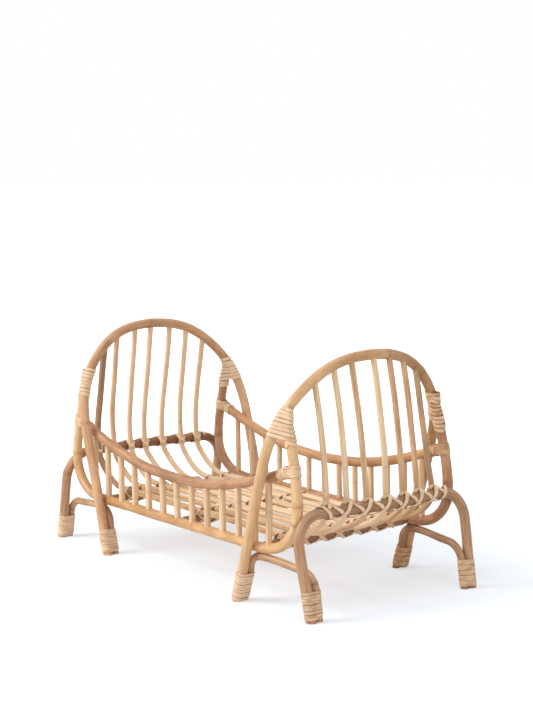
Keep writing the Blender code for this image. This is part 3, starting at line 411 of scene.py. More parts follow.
def skinned_pole(name, pale, mid, deep, streak, drawn_share=0.55):
    """Rattan pole with its skin on, scraped and oiled: satin, streaked along its length in tan and
    brown, with faint joint rings, small scars and shallow ridges."""
    material, tree, shader = blank(name)
    lie = add(tree, "ShaderNodeAttribute", attribute_name="straight").outputs["Vector"]
    tone = add(tree, "ShaderNodeAttribute", attribute_name="tone").outputs["Fac"]
    joint = add(tree, "ShaderNodeAttribute", attribute_name="joint").outputs["Fac"]
    # streaks 1.5 mm wide and about 30 mm long
    drawn = add(tree, "ShaderNodeMapping", {"Vector": lie, "Scale": (650.0, 650.0, 32.0)})
    streaks = add(tree, "ShaderNodeTexNoise", {"Vector": drawn.outputs[0], "Scale": 1.0,
                                               "Detail": 5.0, "Roughness": 0.6}).outputs["Fac"]
    # fibres 0.35 mm wide, twice as coarse as the real ones so that they show
    thin = add(tree, "ShaderNodeMapping", {"Vector": lie, "Scale": (2800.0, 2800.0, 90.0)})
    fibres = add(tree, "ShaderNodeTexNoise", {"Vector": thin.outputs[0], "Scale": 1.0,
                                              "Detail": 3.0, "Roughness": 0.55}).outputs["Fac"]
    # blotches 11 mm wide and 30 mm long
    broad = add(tree, "ShaderNodeMapping", {"Vector": lie, "Scale": (90.0, 90.0, 34.0)})
    blotches = add(tree, "ShaderNodeTexNoise", {"Vector": broad.outputs[0], "Scale": 1.0,
                                                "Detail": 2.0}).outputs["Fac"]
    mixed = add(tree, "ShaderNodeMath", {0: streaks, 1: drawn_share},
                operation="MULTIPLY").outputs[0]
    mixed = add(tree, "ShaderNodeMath", {0: blotches, 1: 1.10 - drawn_share, 2: mixed},
                operation="MULTIPLY_ADD").outputs[0]
    mixed = add(tree, "ShaderNodeMath", {0: fibres, 1: 0.22, 2: mixed},
                operation="MULTIPLY_ADD").outputs[0]
    # the tone holds the piece's own tone and, on some pieces, painted light and shade along it
    mixed = add(tree, "ShaderNodeMath", {0: mixed, 1: tone}, operation="ADD").outputs[0]
    skin = ramp(tree, mixed, [(0.38, deep), (0.62, mid), (0.86, pale)])
    # scars: few dark flecks, 1 mm by 5 mm
    spots = add(tree, "ShaderNodeMapping", {"Vector": lie, "Scale": (420.0, 420.0, 110.0)})
    spots = add(tree, "ShaderNodeTexNoise", {"Vector": spots.outputs[0], "Scale": 1.0,
                                             "Detail": 2.0, "Roughness": 0.5}).outputs["Fac"]
    scars = add(tree, "ShaderNodeMapRange", {"Value": spots, "From Min": 0.70, "From Max": 0.76,
                                             "To Min": 0.0, "To Max": 0.55}).outputs[0]
    scarred = add(tree, "ShaderNodeMix", {0: scars, 6: skin, 7: linear(streak)},
                  data_type="RGBA").outputs[2]
    # joint rings: a brown line 1 mm wide that wanders and fades in and out, inside a duller band
    wander = add(tree, "ShaderNodeMapping", {"Vector": lie, "Scale": (330.0, 330.0, 60.0)})
    wander = add(tree, "ShaderNodeTexNoise", {"Vector": wander.outputs[0], "Scale": 1.0,
                                              "Detail": 3.0}).outputs["Fac"]
    wander = add(tree, "ShaderNodeMath", {0: wander, 1: 0.5}, operation="SUBTRACT").outputs[0]
    off = add(tree, "ShaderNodeMath", {0: wander, 1: 0.0045, 2: joint},
              operation="MULTIPLY_ADD").outputs[0]
    off = add(tree, "ShaderNodeMath", {0: off}, operation="ABSOLUTE").outputs[0]
    line = add(tree, "ShaderNodeMapRange", {"Value": off, "From Min": 0.0001, "From Max": 0.0011,
                                            "To Min": 0.60, "To Max": 0.0}).outputs[0]
    fading = add(tree, "ShaderNodeMapRange", {"Value": blotches, "From Min": 0.42, "From Max": 0.62,
                                              "To Min": 0.15, "To Max": 0.95}).outputs[0]
    line = add(tree, "ShaderNodeMath", {0: line, 1: fading}, operation="MULTIPLY").outputs[0]
    collar = add(tree, "ShaderNodeMapRange", {"Value": off, "From Min": 0.0008, "From Max": 0.0055,
                                              "To Min": 0.34, "To Max": 0.0}).outputs[0]
    banded = add(tree, "ShaderNodeMix", {0: collar, 6: scarred, 7: linear(deep)},
                 data_type="RGBA").outputs[2]
    ringed = add(tree, "ShaderNodeMix", {0: line, 6: banded, 7: linear(streak)},
                 data_type="RGBA").outputs[2]
    tree.links.new(ringed, shader.inputs["Base Color"])
    gloss = add(tree, "ShaderNodeMapRange", {"Value": streaks, "From Min": 0.3, "From Max": 0.7,
                                             "To Min": 0.44, "To Max": 0.28}).outputs[0]
    tree.links.new(gloss, shader.inputs["Roughness"])
    relief = add(tree, "ShaderNodeMath", {0: streaks, 1: 1.6, 2: fibres},
                 operation="MULTIPLY_ADD").outputs[0]
    relief = add(tree, "ShaderNodeMath", {0: line, 1: -1.5, 2: relief},
                 operation="MULTIPLY_ADD").outputs[0]
    bump = add(tree, "ShaderNodeBump", {"Height": relief, "Strength": 0.35, "Distance": 0.0004})
    tree.links.new(bump.outputs[0], shader.inputs["Normal"])
    shader.inputs["IOR"].default_value = 1.5
    return material


def peeled_core(name, pale, mid, deep, brown):
    """Rattan core, peeled and drawn round: matt, pale straw, with fine open fibres along it."""
    material, tree, shader = blank(name)
    lie = add(tree, "ShaderNodeAttribute", attribute_name="straight").outputs["Vector"]
    tone = add(tree, "ShaderNodeAttribute", attribute_name="tone").outputs["Fac"]
    joint = add(tree, "ShaderNodeAttribute", attribute_name="joint").outputs["Fac"]
    # fibres 0.4 mm wide, some 20 mm long
    thin = add(tree, "ShaderNodeMapping", {"Vector": lie, "Scale": (2400.0, 2400.0, 50.0)})
    fibres = add(tree, "ShaderNodeTexNoise", {"Vector": thin.outputs[0], "Scale": 1.0,
                                              "Detail": 4.0, "Roughness": 0.65}).outputs["Fac"]
    # soft shading 3 mm wide and 50 mm long
    drawn = add(tree, "ShaderNodeMapping", {"Vector": lie, "Scale": (330.0, 330.0, 20.0)})
    shades = add(tree, "ShaderNodeTexNoise", {"Vector": drawn.outputs[0], "Scale": 1.0,
                                              "Detail": 3.0}).outputs["Fac"]
    mixed = add(tree, "ShaderNodeMath", {0: shades, 1: 0.85}, operation="MULTIPLY").outputs[0]
    mixed = add(tree, "ShaderNodeMath", {0: fibres, 1: 0.40, 2: mixed},
                operation="MULTIPLY_ADD").outputs[0]
    mixed = add(tree, "ShaderNodeMath", {0: mixed, 1: tone}, operation="ADD").outputs[0]
    core = ramp(tree, mixed, [(0.12, brown), (0.36, deep), (0.60, mid), (0.84, pale)])
    ring = add(tree, "ShaderNodeMapRange", {"Value": joint, "From Min": 0.0002, "From Max": 0.0030,
                                            "To Min": 0.40, "To Max": 0.0}).outputs[0]
    ringed = add(tree, "ShaderNodeMix", {0: ring, 6: core, 7: linear(deep)},
                 data_type="RGBA").outputs[2]
    tree.links.new(ringed, shader.inputs["Base Color"])
    gloss = add(tree, "ShaderNodeMapRange", {"Value": fibres, "From Min": 0.3, "From Max": 0.7,
                                             "To Min": 0.72, "To Max": 0.56}).outputs[0]
    tree.links.new(gloss, shader.inputs["Roughness"])
    relief = add(tree, "ShaderNodeMath", {0: shades, 1: 0.8, 2: fibres},
                 operation="MULTIPLY_ADD").outputs[0]
    bump = add(tree, "ShaderNodeBump", {"Height": relief, "Strength": 0.30, "Distance": 0.0003})
    tree.links.new(bump.outputs[0], shader.inputs["Normal"])
    shader.inputs["IOR"].default_value = 1.48
    return material


def split_reed(name, pale, mid, deep, edge_stain_and_shade):
    """Flat reed split from the core and wound damp: pale and dull, darker along both edges, partly
    browned and partly painted shade for the gaps between turns.
    """
    material, tree, shader = blank(name)
    lie = add(tree, "ShaderNodeAttribute", attribute_name="straight").outputs["Vector"]
    tone = add(tree, "ShaderNodeAttribute", attribute_name="tone").outputs["Fac"]
    # fibres 0.33 mm wide, 11 mm long
    thin = add(tree, "ShaderNodeMapping", {"Vector": lie, "Scale": (3000.0, 3000.0, 90.0)})
    fibres = add(tree, "ShaderNodeTexNoise", {"Vector": thin.outputs[0], "Scale": 1.0,
                                              "Detail": 3.0, "Roughness": 0.6}).outputs["Fac"]
    # patches some 15 mm long, so that each turn is a little lighter or darker than the next
    patches = add(tree, "ShaderNodeMapping", {"Vector": lie, "Scale": (120.0, 120.0, 60.0)})
    patches = add(tree, "ShaderNodeTexNoise", {"Vector": patches.outputs[0], "Scale": 1.0,
                                               "Detail": 2.0}).outputs["Fac"]
    mixed = add(tree, "ShaderNodeMath", {0: patches, 1: 0.85}, operation="MULTIPLY").outputs[0]
    mixed = add(tree, "ShaderNodeMath", {0: fibres, 1: 0.35, 2: mixed},
                operation="MULTIPLY_ADD").outputs[0]
    # the tone holds the reed's own tone and, on some reeds, painted light
    mixed = add(tree, "ShaderNodeMath", {0: mixed, 1: tone}, operation="ADD").outputs[0]
    reed = ramp(tree, mixed, [(0.36, deep), (0.60, mid), (0.84, pale)])
    across = add(tree, "ShaderNodeSeparateXYZ", {0: lie}).outputs["X"]
    across = add(tree, "ShaderNodeMath", {0: across}, operation="ABSOLUTE").outputs[0]
    half = add(tree, "ShaderNodeAttribute", attribute_name="half_width").outputs["Fac"]
    across = add(tree, "ShaderNodeMath", {0: across, 1: half}, operation="DIVIDE").outputs[0]
    # both edges darkened: partly brown stain, partly painted shade for the gaps between turns
    edge_stain_and_shade_share = add(tree, "ShaderNodeMapRange", {"Value": across, "From Min": 0.78, "From Max": 1.0,
                                            "To Min": 0.0, "To Max": 0.65}).outputs[0]
    edge_stained_and_shaded = add(tree, "ShaderNodeMix", {0: edge_stain_and_shade_share, 6: reed, 7: linear(edge_stain_and_shade)},
                data_type="RGBA").outputs[2]
    tree.links.new(edge_stained_and_shaded, shader.inputs["Base Color"])
    gloss = add(tree, "ShaderNodeMapRange", {"Value": fibres, "From Min": 0.3, "From Max": 0.7,
                                             "To Min": 0.68, "To Max": 0.50}).outputs[0]
    tree.links.new(gloss, shader.inputs["Roughness"])
    bump = add(tree, "ShaderNodeBump", {"Height": fibres, "Strength": 0.35, "Distance": 0.0002})
    tree.links.new(bump.outputs[0], shader.inputs["Normal"])
    shader.inputs["IOR"].default_value = 1.48
    return material


def cut_end(name, pale, deep):
    """Sawn cane end: dry and open, with the dark pores of the vessels, 0.5 mm apart."""
    material, tree, shader = blank(name)
    lie = add(tree, "ShaderNodeAttribute", attribute_name="straight").outputs["Vector"]
    flat = add(tree, "ShaderNodeMapping", {"Vector": lie, "Scale": (2000.0, 2000.0, 0.0)})
    pores = add(tree, "ShaderNodeTexVoronoi", {"Vector": flat.outputs[0], "Scale": 1.0})
    dots = add(tree, "ShaderNodeMapRange", {"Value": pores.outputs["Distance"], "From Min": 0.15,
                                            "From Max": 0.42}).outputs[0]
    colour = add(tree, "ShaderNodeMix", {0: dots, 6: linear(deep), 7: linear(pale)},
                 data_type="RGBA").outputs[2]
    tree.links.new(colour, shader.inputs["Base Color"])
    rough = add(tree, "ShaderNodeMapRange", {"Value": dots, "To Min": 0.9, "To Max": 0.75})
    tree.links.new(rough.outputs[0], shader.inputs["Roughness"])
    bump = add(tree, "ShaderNodeBump", {"Height": dots, "Strength": 0.4, "Distance": 0.0002})
    tree.links.new(bump.outputs[0], shader.inputs["Normal"])
    return material


HOOP_SKINS = {
    "head": skinned_pole("oiled_rattan_pole_hoop", "#E1B991", "#CE9F76", "#A97952", "#6D4428"),
    "foot": skinned_pole("golden_oiled_rattan_pole_hoop", "#E2BB8B", "#CEA070", "#A97A4D",
                         "#6D4428"),
}
FRAME_SKINS = {
    "near": skinned_pole("oiled_rattan_pole_side_frame", "#EDC999", "#DCAE7B", "#BC8956",
                         "#795132"),
    "far": skinned_pole("dark_oiled_rattan_pole_side_frame", "#CFA27B", "#AD7B55", "#86573A",
                        "#5A3622"),
}
RAIL_SKIN = skinned_pole("oiled_rattan_pole_top_rail", "#D9AC80", "#C49267", "#9C6D46", "#69422B")
LEG_SKIN = skinned_pole("oiled_rattan_pole_leg_frame", "#DCB087", "#B98C66", "#8C6245", "#5A3A26",
                        drawn_share=0.80)
BRACE_SKIN = skinned_pole("oiled_rattan_pole_brace", "#D7AE83", "#BC8F68", "#936847", "#5D3D27")
BAR_SKIN = skinned_pole("oiled_rattan_pole_cross_bar", "#BC8F68", "#9A6F4E", "#77513A", "#4C3020")
PEELED = peeled_core("peeled_rattan_core", "#F2D7B2", "#E8C69E", "#CEA379", "#9F7E60")
# the last colour is for the reeds' edges: brown stain and painted shade between turns
REED = split_reed("flat_rattan_reed", "#F4D7B4", "#E6C29D", "#BA8D63", "#96694A")
SAWN = cut_end("sawn_rattan_end", "#D8B183", "#8C6240")


# How a cane is made
EASED_SHARE = 0.09             # of the radius, round a sawn end
JOINT_CUTS = (-0.004, -0.0018, -0.0007, 0.0, 0.0007, 0.0018, 0.004)
JOINT_REACH = 0.0042           # of the swelling
GROOVE_REACH = 0.0006          # of the groove in its middle
GROOVE_DEPTH = 0.03            # as a share of the radius
FAR_FROM_JOINT = 0.02
RIDGE_TWIST = 5                # radians per metre
THICKNESS_WANDER = 0.02        # as a share of the radius
STEADY_END = 0.03              # this near its ends a cane keeps more and more to its line
FULL_TURN = 6.283              # radians
WAVE_PARTS = 3


def axes_along(line, across=None):
    """Headings of a line and two axes across it, which turn no more than the line does."""
    heading = np.gradient(line, axis=0)
    heading /= np.linalg.norm(heading, axis=1)[:, None]
    if across is None:
        guess = UP if abs(heading[0, 2]) < 0.9 else ALONG_X
        across = np.zeros_like(line)
        for i in range(len(line)):
            guess = guess - (guess @ heading[i]) * heading[i]
            guess /= np.linalg.norm(guess)
            across[i] = guess
    else:
        across = across - np.sum(across * heading, axis=1)[:, None] * heading
        across /= np.linalg.norm(across, axis=1)[:, None]
    return across, np.cross(heading, across)


def bend_along(work, line, across=None):
    """Bends a straight piece, made along Z from zero, along a line."""
    along = lengths_along(line)
    first, second = axes_along(line, across)
    places = np.array([v.co for v in work.verts])
    lie = places[:, 2]
    moved_to = np.zeros_like(places)
    for i in range(3):
        moved_to[:, i] = (np.interp(lie, along, line[:, i])
                          + places[:, 0] * np.interp(lie, along, first[:, i])
                          + places[:, 1] * np.interp(lie, along, second[:, i]))
    for vert, place in zip(work.verts, moved_to):
        vert.co = place


def settle(work, name, skin, nodes, smooth_angle=40, ends=None):
    """Makes the finished piece from the bent one and sets it in the frame."""
    mesh = bpy.data.meshes.new(name)
    bmesh.ops.recalc_face_normals(work, faces=work.faces)
    work.to_mesh(mesh)
    work.free()
    mesh.materials.append(skin)
    if ends is not None:
        mesh.materials.append(ends)
    mesh.shade_smooth()
    mesh.set_sharp_from_angle(angle=math.radians(smooth_angle))
    piece = bpy.data.objects.new(name, mesh)
    bpy.context.scene.collection.objects.link(piece)
    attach(piece, "root")
    if nodes:
        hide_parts(*nodes)


def along_length(pairs, share):
    """A value that changes along a piece, from its (share of the length, value) pairs."""
    return float(np.interp(share, [at for at, value in pairs], [value for at, value in pairs]))


def mark_lie(work, start, tone, length, joints=(), shades=((0.0, 0.0),)):
    """Keeps each point's place in the straight piece, its tone and its distance from a joint."""
    straight = work.verts.layers.float_vector.new("straight")
    tones = work.verts.layers.float.new("tone")
    rings = work.verts.layers.float.new("joint")
    for vert in work.verts:
        vert[straight] = vert.co + Vector((0.0, 0.0, start))
        vert[tones] = tone + along_length(shades, vert.co.z / length)
        vert[rings] = min([abs(vert.co.z - joint) for joint in joints] + [FAR_FROM_JOINT])


def waver(rng, reach):
    """A slow random wave: amplitude, waves per metre and phase of each part."""
    return [(rng.uniform(0.3, 1.0) * reach / WAVE_PARTS, rng.uniform(3.0, 14.0),
             rng.uniform(0.0, FULL_TURN)) for i in range(WAVE_PARTS)]


def wave_at(parts, along):
    return sum(size * np.sin(FULL_TURN * rate * along + phase) for size, rate, phase in parts)


def straight_blank(length, radius, sides, step, joints):
    """A straight round cane along Z with eased ends, cut finely along its length and at joints."""
    work = bmesh.new()
    bmesh.ops.create_cone(work, cap_ends=True, segments=sides, radius1=radius, radius2=radius,
                          depth=length)
    bmesh.ops.translate(work, verts=work.verts, vec=(0.0, 0.0, length / 2))
    rims = [e for e in work.edges if abs(e.verts[0].co.z - e.verts[1].co.z) < length / 2]
    bmesh.ops.bevel(work, geom=rims, offset=radius * EASED_SHARE, segments=2, profile=0.5,
                    affect="EDGES", material=-1)
    walls = [e for e in work.edges if abs(e.verts[0].co.z - e.verts[1].co.z) > length / 2]
    bmesh.ops.subdivide_edges(work, edges=walls, cuts=max(2, int(length / step)),
                              use_grid_fill=False)
    for joint in joints:
        for off in JOINT_CUTS:
            bmesh.ops.bisect_plane(work, geom=work.verts[:] + work.edges[:] + work.faces[:],
                                   plane_co=(0.0, 0.0, joint + off), plane_no=(0.0, 0.0, 1.0))
    for face in work.faces:
        if len(face.verts) > 4:
            face.material_index = 1
    return work


def grow_uneven(work, rng, length, joints, ridges, swell, girth, whittled):
    """Gives a blank its shallow ridges, waves, swollen joints and whittled ends."""
    lobes = [(rng.choice((2, 3, 5, 8)), rng.uniform(0.3, 1.0), rng.uniform(0.0, FULL_TURN))
             for i in range(4)]
    uneven = waver(rng, THICKNESS_WANDER)
    for vert in work.verts:
        z = vert.co.z
        angle = math.atan2(vert.co.y, vert.co.x)
        size = along_length(girth, z / length) + float(wave_at(uneven, z))
        size += ridges * sum(part * math.sin(count * angle + phase + RIDGE_TWIST * z)
                             for count, part, phase in lobes)
        for joint in joints:
            size += swell * math.exp(-((z - joint) / JOINT_REACH) ** 2)
            size -= GROOVE_DEPTH * math.exp(-((z - joint) / GROOVE_REACH) ** 2)
        if whittled:
            size *= whittled_share(min(z, length - z))
        vert.co.x *= size
        vert.co.y *= size


def saw_at_floor(work):
    """Cuts off what lies below the floor and closes the feet."""
    bmesh.ops.bisect_plane(work, geom=work.verts[:] + work.edges[:] + work.faces[:],
                           plane_co=(0.0, 0.0, 0.0), plane_no=(0.0, 0.0, 1.0), clear_inner=True)
    soles = bmesh.ops.holes_fill(work, edges=[e for e in work.edges if e.is_boundary])["faces"]
    for sole in soles:
        sole.material_index = 1


def cane(name, line, radius, skin, home_slot, nodes, seed, tone=0.0, joints=(), sides=28, step=0.004,
         hand=0.0003, ridges=0.006, swell=0.045, stands=False, whittled=False,
         shades=((0.0, 0.0),), girth=((0.0, 1.0),)):
    """A round cane with joints, slightly uneven, its ends sawn and eased, or cut level with the
    floor where it stands on them. Hand is how far it wanders off its line, and shades and girth
    change its tone and its thickness along it. On some pieces the shades also hold painted
    light and shade."""
    rng = random.Random(seed)
    along = lengths_along(line)
    length = float(along[-1])
    ease = np.minimum(1.0, np.minimum(along, length - along) / STEADY_END)
    first, second = axes_along(line)
    line = (line + first * (wave_at(waver(rng, hand), along) * ease)[:, None]
            + second * (wave_at(waver(rng, hand), along) * ease)[:, None])
    work = straight_blank(length, radius, sides, step, joints)
    mark_lie(work, rng.uniform(0.0, 40.0), tone + rng.uniform(-0.03, 0.03), length, joints, shades)
    grow_uneven(work, rng, length, joints, ridges, swell, girth, whittled)
    bend_along(work, line)
    if stands:
        saw_at_floor(work)
    settle(work, name, skin, nodes, ends=SAWN)


def spread_joints(rng, length, spacing):
    """Joints at the uneven distances of a real stem."""
    places = []
    place = rng.uniform(0.2, 0.9) * spacing
    while place < length - 0.01:
        places.append(place)
        place += spacing * rng.uniform(0.75, 1.25)
    return places


def joint_near(line, place):
    """How far along a line its nearest point to this place lies."""
    nearest = int(np.argmin(np.linalg.norm(line - np.array(place), axis=1)))
    return float(lengths_along(line)[nearest])


# Hoops, from the near foot over the crown to the far one
HOOP_JOINTS = {
    "head": [(-0.2295, -0.006, 0.2937), (-0.19, -0.13, 0.17), (-0.17, 0.13, 0.11)],
    "foot": [(0.229, 0.0245, 0.2927), (0.221, 0.087, 0.265), (0.20, -0.118, 0.23),
             (0.17, 0.13, 0.10)],
}
HOOP_TONES = {"head": -0.04, "foot": 0.0}
# Tone along each hoop, with painted light and shade: the foot hoop has a painted highlight on its
# near flank and painted shade over its crown and far shoulder; the head hoop is lighter down its far
# leg, partly a painted highlight
HOOP_TONE_AND_PAINTED_LIGHT = {
    "head": [(0.0, 0.02), (0.25, 0.02), (0.31, -0.09), (0.42, -0.09), (0.5, -0.08), (0.67, 0.03),
             (0.74, 0.18), (1.0, 0.20)],
    "foot": [(0.0, 0.18), (0.15, 0.10), (0.28, 0.15), (0.33, 0.13), (0.38, -0.03), (0.47, -0.09),
             (0.56, -0.16), (0.64, -0.25), (0.72, -0.20), (1.0, 0.0)],
}


def make_hoops():
    for end, sign in ENDS.items():
        line = moved(ARCHES[end], sign)
        cane("hoop_" + end, line, FRAME_R, HOOP_SKINS[end], "arch_cane", ["arch_" + end],
             seed=11 + sign, tone=HOOP_TONES[end], shades=HOOP_TONE_AND_PAINTED_LIGHT[end], hand=0.0004, stands=True,
             joints=[joint_near(line, place) for place in HOOP_JOINTS[end]])


# Side frames, whittled thin at both upper ends; the far one is the darker cane
SIDE_JOINTS = [(-0.2392, 0.122), (-0.12, 0.069), (0.038, 0.069), (0.2392, 0.128), (0.2390, 0.108)]
# Tone along each side frame; the far one is darker along its lower bend at the foot, and darker
# still just under its foot shoulder as painted shade
SIDE_TONE_AND_PAINTED_SHADE = {
    "near": [(0.0, 0.20), (0.12, 0.18), (0.20, -0.18), (0.26, -0.22), (0.48, -0.20), (0.60, -0.13),
             (0.76, 0.0), (0.84, 0.05), (1.0, 0.0)],
    "far": [(0.0, -0.04), (0.07, 0.0), (0.11, 0.13), (0.17, 0.16), (0.22, 0.0), (0.5, 0.0),
            (0.72, -0.08), (0.82, -0.12), (0.86, 0.06), (0.91, 0.10), (0.94, -0.20), (1.0, -0.20)],
}


def make_side_frames():
    for side, sign in SIDES.items():
        line = moved(SIDE_FRAMES[side], side=sign)
        cane("side_frame_pole_" + side, line, FRAME_R, FRAME_SKINS[side], "frame_cane",
             ["side_frame_" + side], seed=21 + sign, shades=SIDE_TONE_AND_PAINTED_SHADE[side], whittled=True,
             joints=[joint_near(line, (x, SIDE_Y * sign, z)) for x, z in SIDE_JOINTS])


# Top rails
RAIL_JOINTS = {"near": (-0.027, 0.175), "far": (-0.12, 0.055, 0.19)}
RAIL_JOINT_Z = 0.13
RAIL_SHADES = {
    "near": [(0.0, -0.04), (0.07, -0.08), (0.15, -0.20), (0.50, -0.24), (0.62, -0.14), (0.75, -0.08),
             (0.83, -0.08), (0.87, -0.22), (1.0, -0.24)],
    "far": [(0.0, 0.0), (0.45, -0.04), (0.65, -0.14), (1.0, -0.05)],
}


def make_top_rails():
    for side, sign in SIDES.items():
        line = moved(TOP_RAILS[side], side=sign)
        cane("top_rail_pole_" + side, line, FRAME_R, RAIL_SKIN, "rail_cane", ["top_rail_" + side],
             seed=31 + sign, sides=26, hand=0.0004, shades=RAIL_SHADES[side],
             joints=[joint_near(line, (x, SIDE_Y * sign, RAIL_JOINT_Z)) for x in RAIL_JOINTS[side]])


# Leg frames, their cross rails darkened with painted shade, the head one most
LEG_JOINTS = {"head": [0.10, 0.235, 0.385], "foot": [0.172, 0.318]}
# the dips along the middle of each are painted shade on the cross rail
LEG_TONE_AND_PAINTED_SHADE = {
    "head": [(0.0, 0.06), (0.26, 0.0), (0.30, -0.24), (0.5, -0.30), (0.72, -0.24), (0.80, 0.0),
             (1.0, 0.06)],
    "foot": [(0.0, 0.0), (0.20, -0.01), (0.32, -0.14), (0.66, -0.14), (0.76, -0.04), (1.0, -0.02)],
}


def make_leg_frames():
    for end, sign in ENDS.items():
        cane("leg_frame_pole_" + end, moved(LEGS[end], sign), FRAME_R, LEG_SKIN, "leg_cane",
             ["leg_frame_" + end], seed=41 + sign, joints=LEG_JOINTS[end], ridges=0.014,
             stands=True, shades=LEG_TONE_AND_PAINTED_SHADE[end])


# Braces
BRACE_JOINTS = {"near": [(0.17, 0.12, 0.055), (0.26, 0.118, 0.04)],
                "far": [(0.17, 0.12, 0.055), (0.225, 0.118, 0.04)]}
BRACE_TONES = {("foot", "near"): 0.06, ("foot", "far"): -0.16, ("head", "near"): -0.03,
               ("head", "far"): -0.10}


def make_braces():
    for (end, side), line in BRACES.items():
        places = [(ENDS[end] * x, SIDES[side] * y, z) for x, y, z in BRACE_JOINTS[side]]
        cane("brace_pole_{}_{}".format(end, side), line, BRACE_R, BRACE_SKIN, "brace_cane",
             ["brace_{}_{}".format(end, side)], seed=50 + 2 * ENDS[end] + SIDES[side],
             tone=BRACE_TONES[end, side], sides=20, ridges=0.010, stands=True,
             joints=[joint_near(line, place) for place in places])


# Cross bars, drawn thinner at their ends, which lie on the side frames
BARS = {"head": -BAR_SPREAD, "middle": 0.0, "foot": BAR_SPREAD}
BAR_JOINTS = [0.07, 0.19]
BAR_GIRTH = [(0.0, 0.72), (0.033, 0.82), (0.055, 1.0), (0.945, 1.0), (0.967, 0.82), (1.0, 0.72)]


def make_cross_bars():
    for place, x in BARS.items():
        line = np.array([(x, y, BAR_Z) for y in np.linspace(-SIDE_Y, SIDE_Y, 40)])
        cane("bar_pole_" + place, line, BAR_R, BAR_SKIN, "bar_cane", ["cross_bar_" + place],
             seed=61 + int(x * 100), joints=BAR_JOINTS, sides=20, step=0.003, hand=0.0002,
             girth=BAR_GIRTH)


# Canes of both ends, thinner on the base; the first head cane is the stoutest
CANE_TONES = {
    "head": (-0.48, -0.10, 0.05, 0.08, 0.04, 0.07, 0.11),
    "foot": (-0.02, 0.08, -0.17, 0.05, -0.23, -0.26, -0.43),
}
CANE_JOINT_SPACING = 0.19
CANE_JOINTS_TO = 0.55          # along a cane, about to its end
STOUT_CANE = ("head", 0)
STOUT_GIRTH = 1.2
BASE_GIRTH = BASE_R / END_R
BROWN_TONE = -0.10             # canes darker than this are paler along the base
BROWN_PALER = 0.9              # this share of what makes them darker is gone there
BASE_TONE = -0.05


def make_end_canes():
    for end, sign in ENDS.items():
        for i in range(CANE_COUNT):
            rng = random.Random(700 + 10 * i + sign)
            upper = STOUT_GIRTH if (end, i) == STOUT_CANE else 1.0
            tone = CANE_TONES[end][i]
            paler = BASE_TONE - BROWN_PALER * min(0.0, tone - BROWN_TONE)
            cane("{}_core_{}".format(end, i + 1), END_CANES[end, i], END_R, PEELED, "peeled_cane",
                 ["{}_cane_{}".format(end, i + 1)], seed=71 + 10 * i + sign, tone=tone,
                 joints=spread_joints(rng, CANE_JOINTS_TO, CANE_JOINT_SPACING), sides=16,
                 step=0.005, hand=0.0006, ridges=0.012, swell=0.03,
                 shades=[(0.0, -0.04), (0.2, 0.02), (0.40, 0.0), (0.50, paler), (1.0, paler)],
                 girth=[(0.0, upper), (0.30, upper), (0.34, 1.0), (0.42, 1.0), (0.50, BASE_GIRTH),
                        (1.0, BASE_GIRTH)])


# Spindles, from the side frame's bottom rail up to the top rail
JOINTED_SHARE = 0.4            # of the spindles have a joint, near the lower end


def make_spindles():
    for side, sign in SIDES.items():
        bottom_rail = SIDE_FRAMES[side][SIDE_FRAMES[side][:, 2] < TOP_RAIL_MID_Z]
        at_low, at_high = SPINDLE_LEAN[side]
        for i in range(SPINDLE_COUNT):
            x = (i - (SPINDLE_COUNT - 1) / 2) * SPINDLE_PITCH
            if (side, i) == ("near", SPINDLE_COUNT - 1):
                x -= LAST_SPINDLE_INSET
            low = at_level(bottom_rail, ALONG_X, x + at_low)
            high = at_level(TOP_RAILS[side], ALONG_X, x + at_high)
            rng = random.Random(900 + 10 * i + sign)
            cane("{}_spindle_core_{:02d}".format(side, i + 1),
                 moved(np.linspace(low, high, 24), side=sign), SPINDLE_R[side], PEELED,
                 "peeled_cane", ["spindle_{}_{:02d}".format(side, i + 1)], seed=91 + 10 * i + sign,
                 tone=rng.uniform(-0.10, 0.05),
                 joints=[rng.uniform(0.02, 0.05)] if rng.random() < JOINTED_SHARE else [],
                 sides=16, hand=0.0005, ridges=0.012, swell=0.03)


# How a reed is made and wound
ROUNDED_SHARE = 0.42           # of the reed's thickness, along its edges
WIDTH_WANDER = 0.05            # as a share of the reed's width
WIDTH_WAVES = 4                # times as many as a cane has
HULL_STEPS = 72
POINTS_PER_TURN = 26
WAVE_PER_TURN = 0.06           # a winding's level goes this far along its random wave each turn


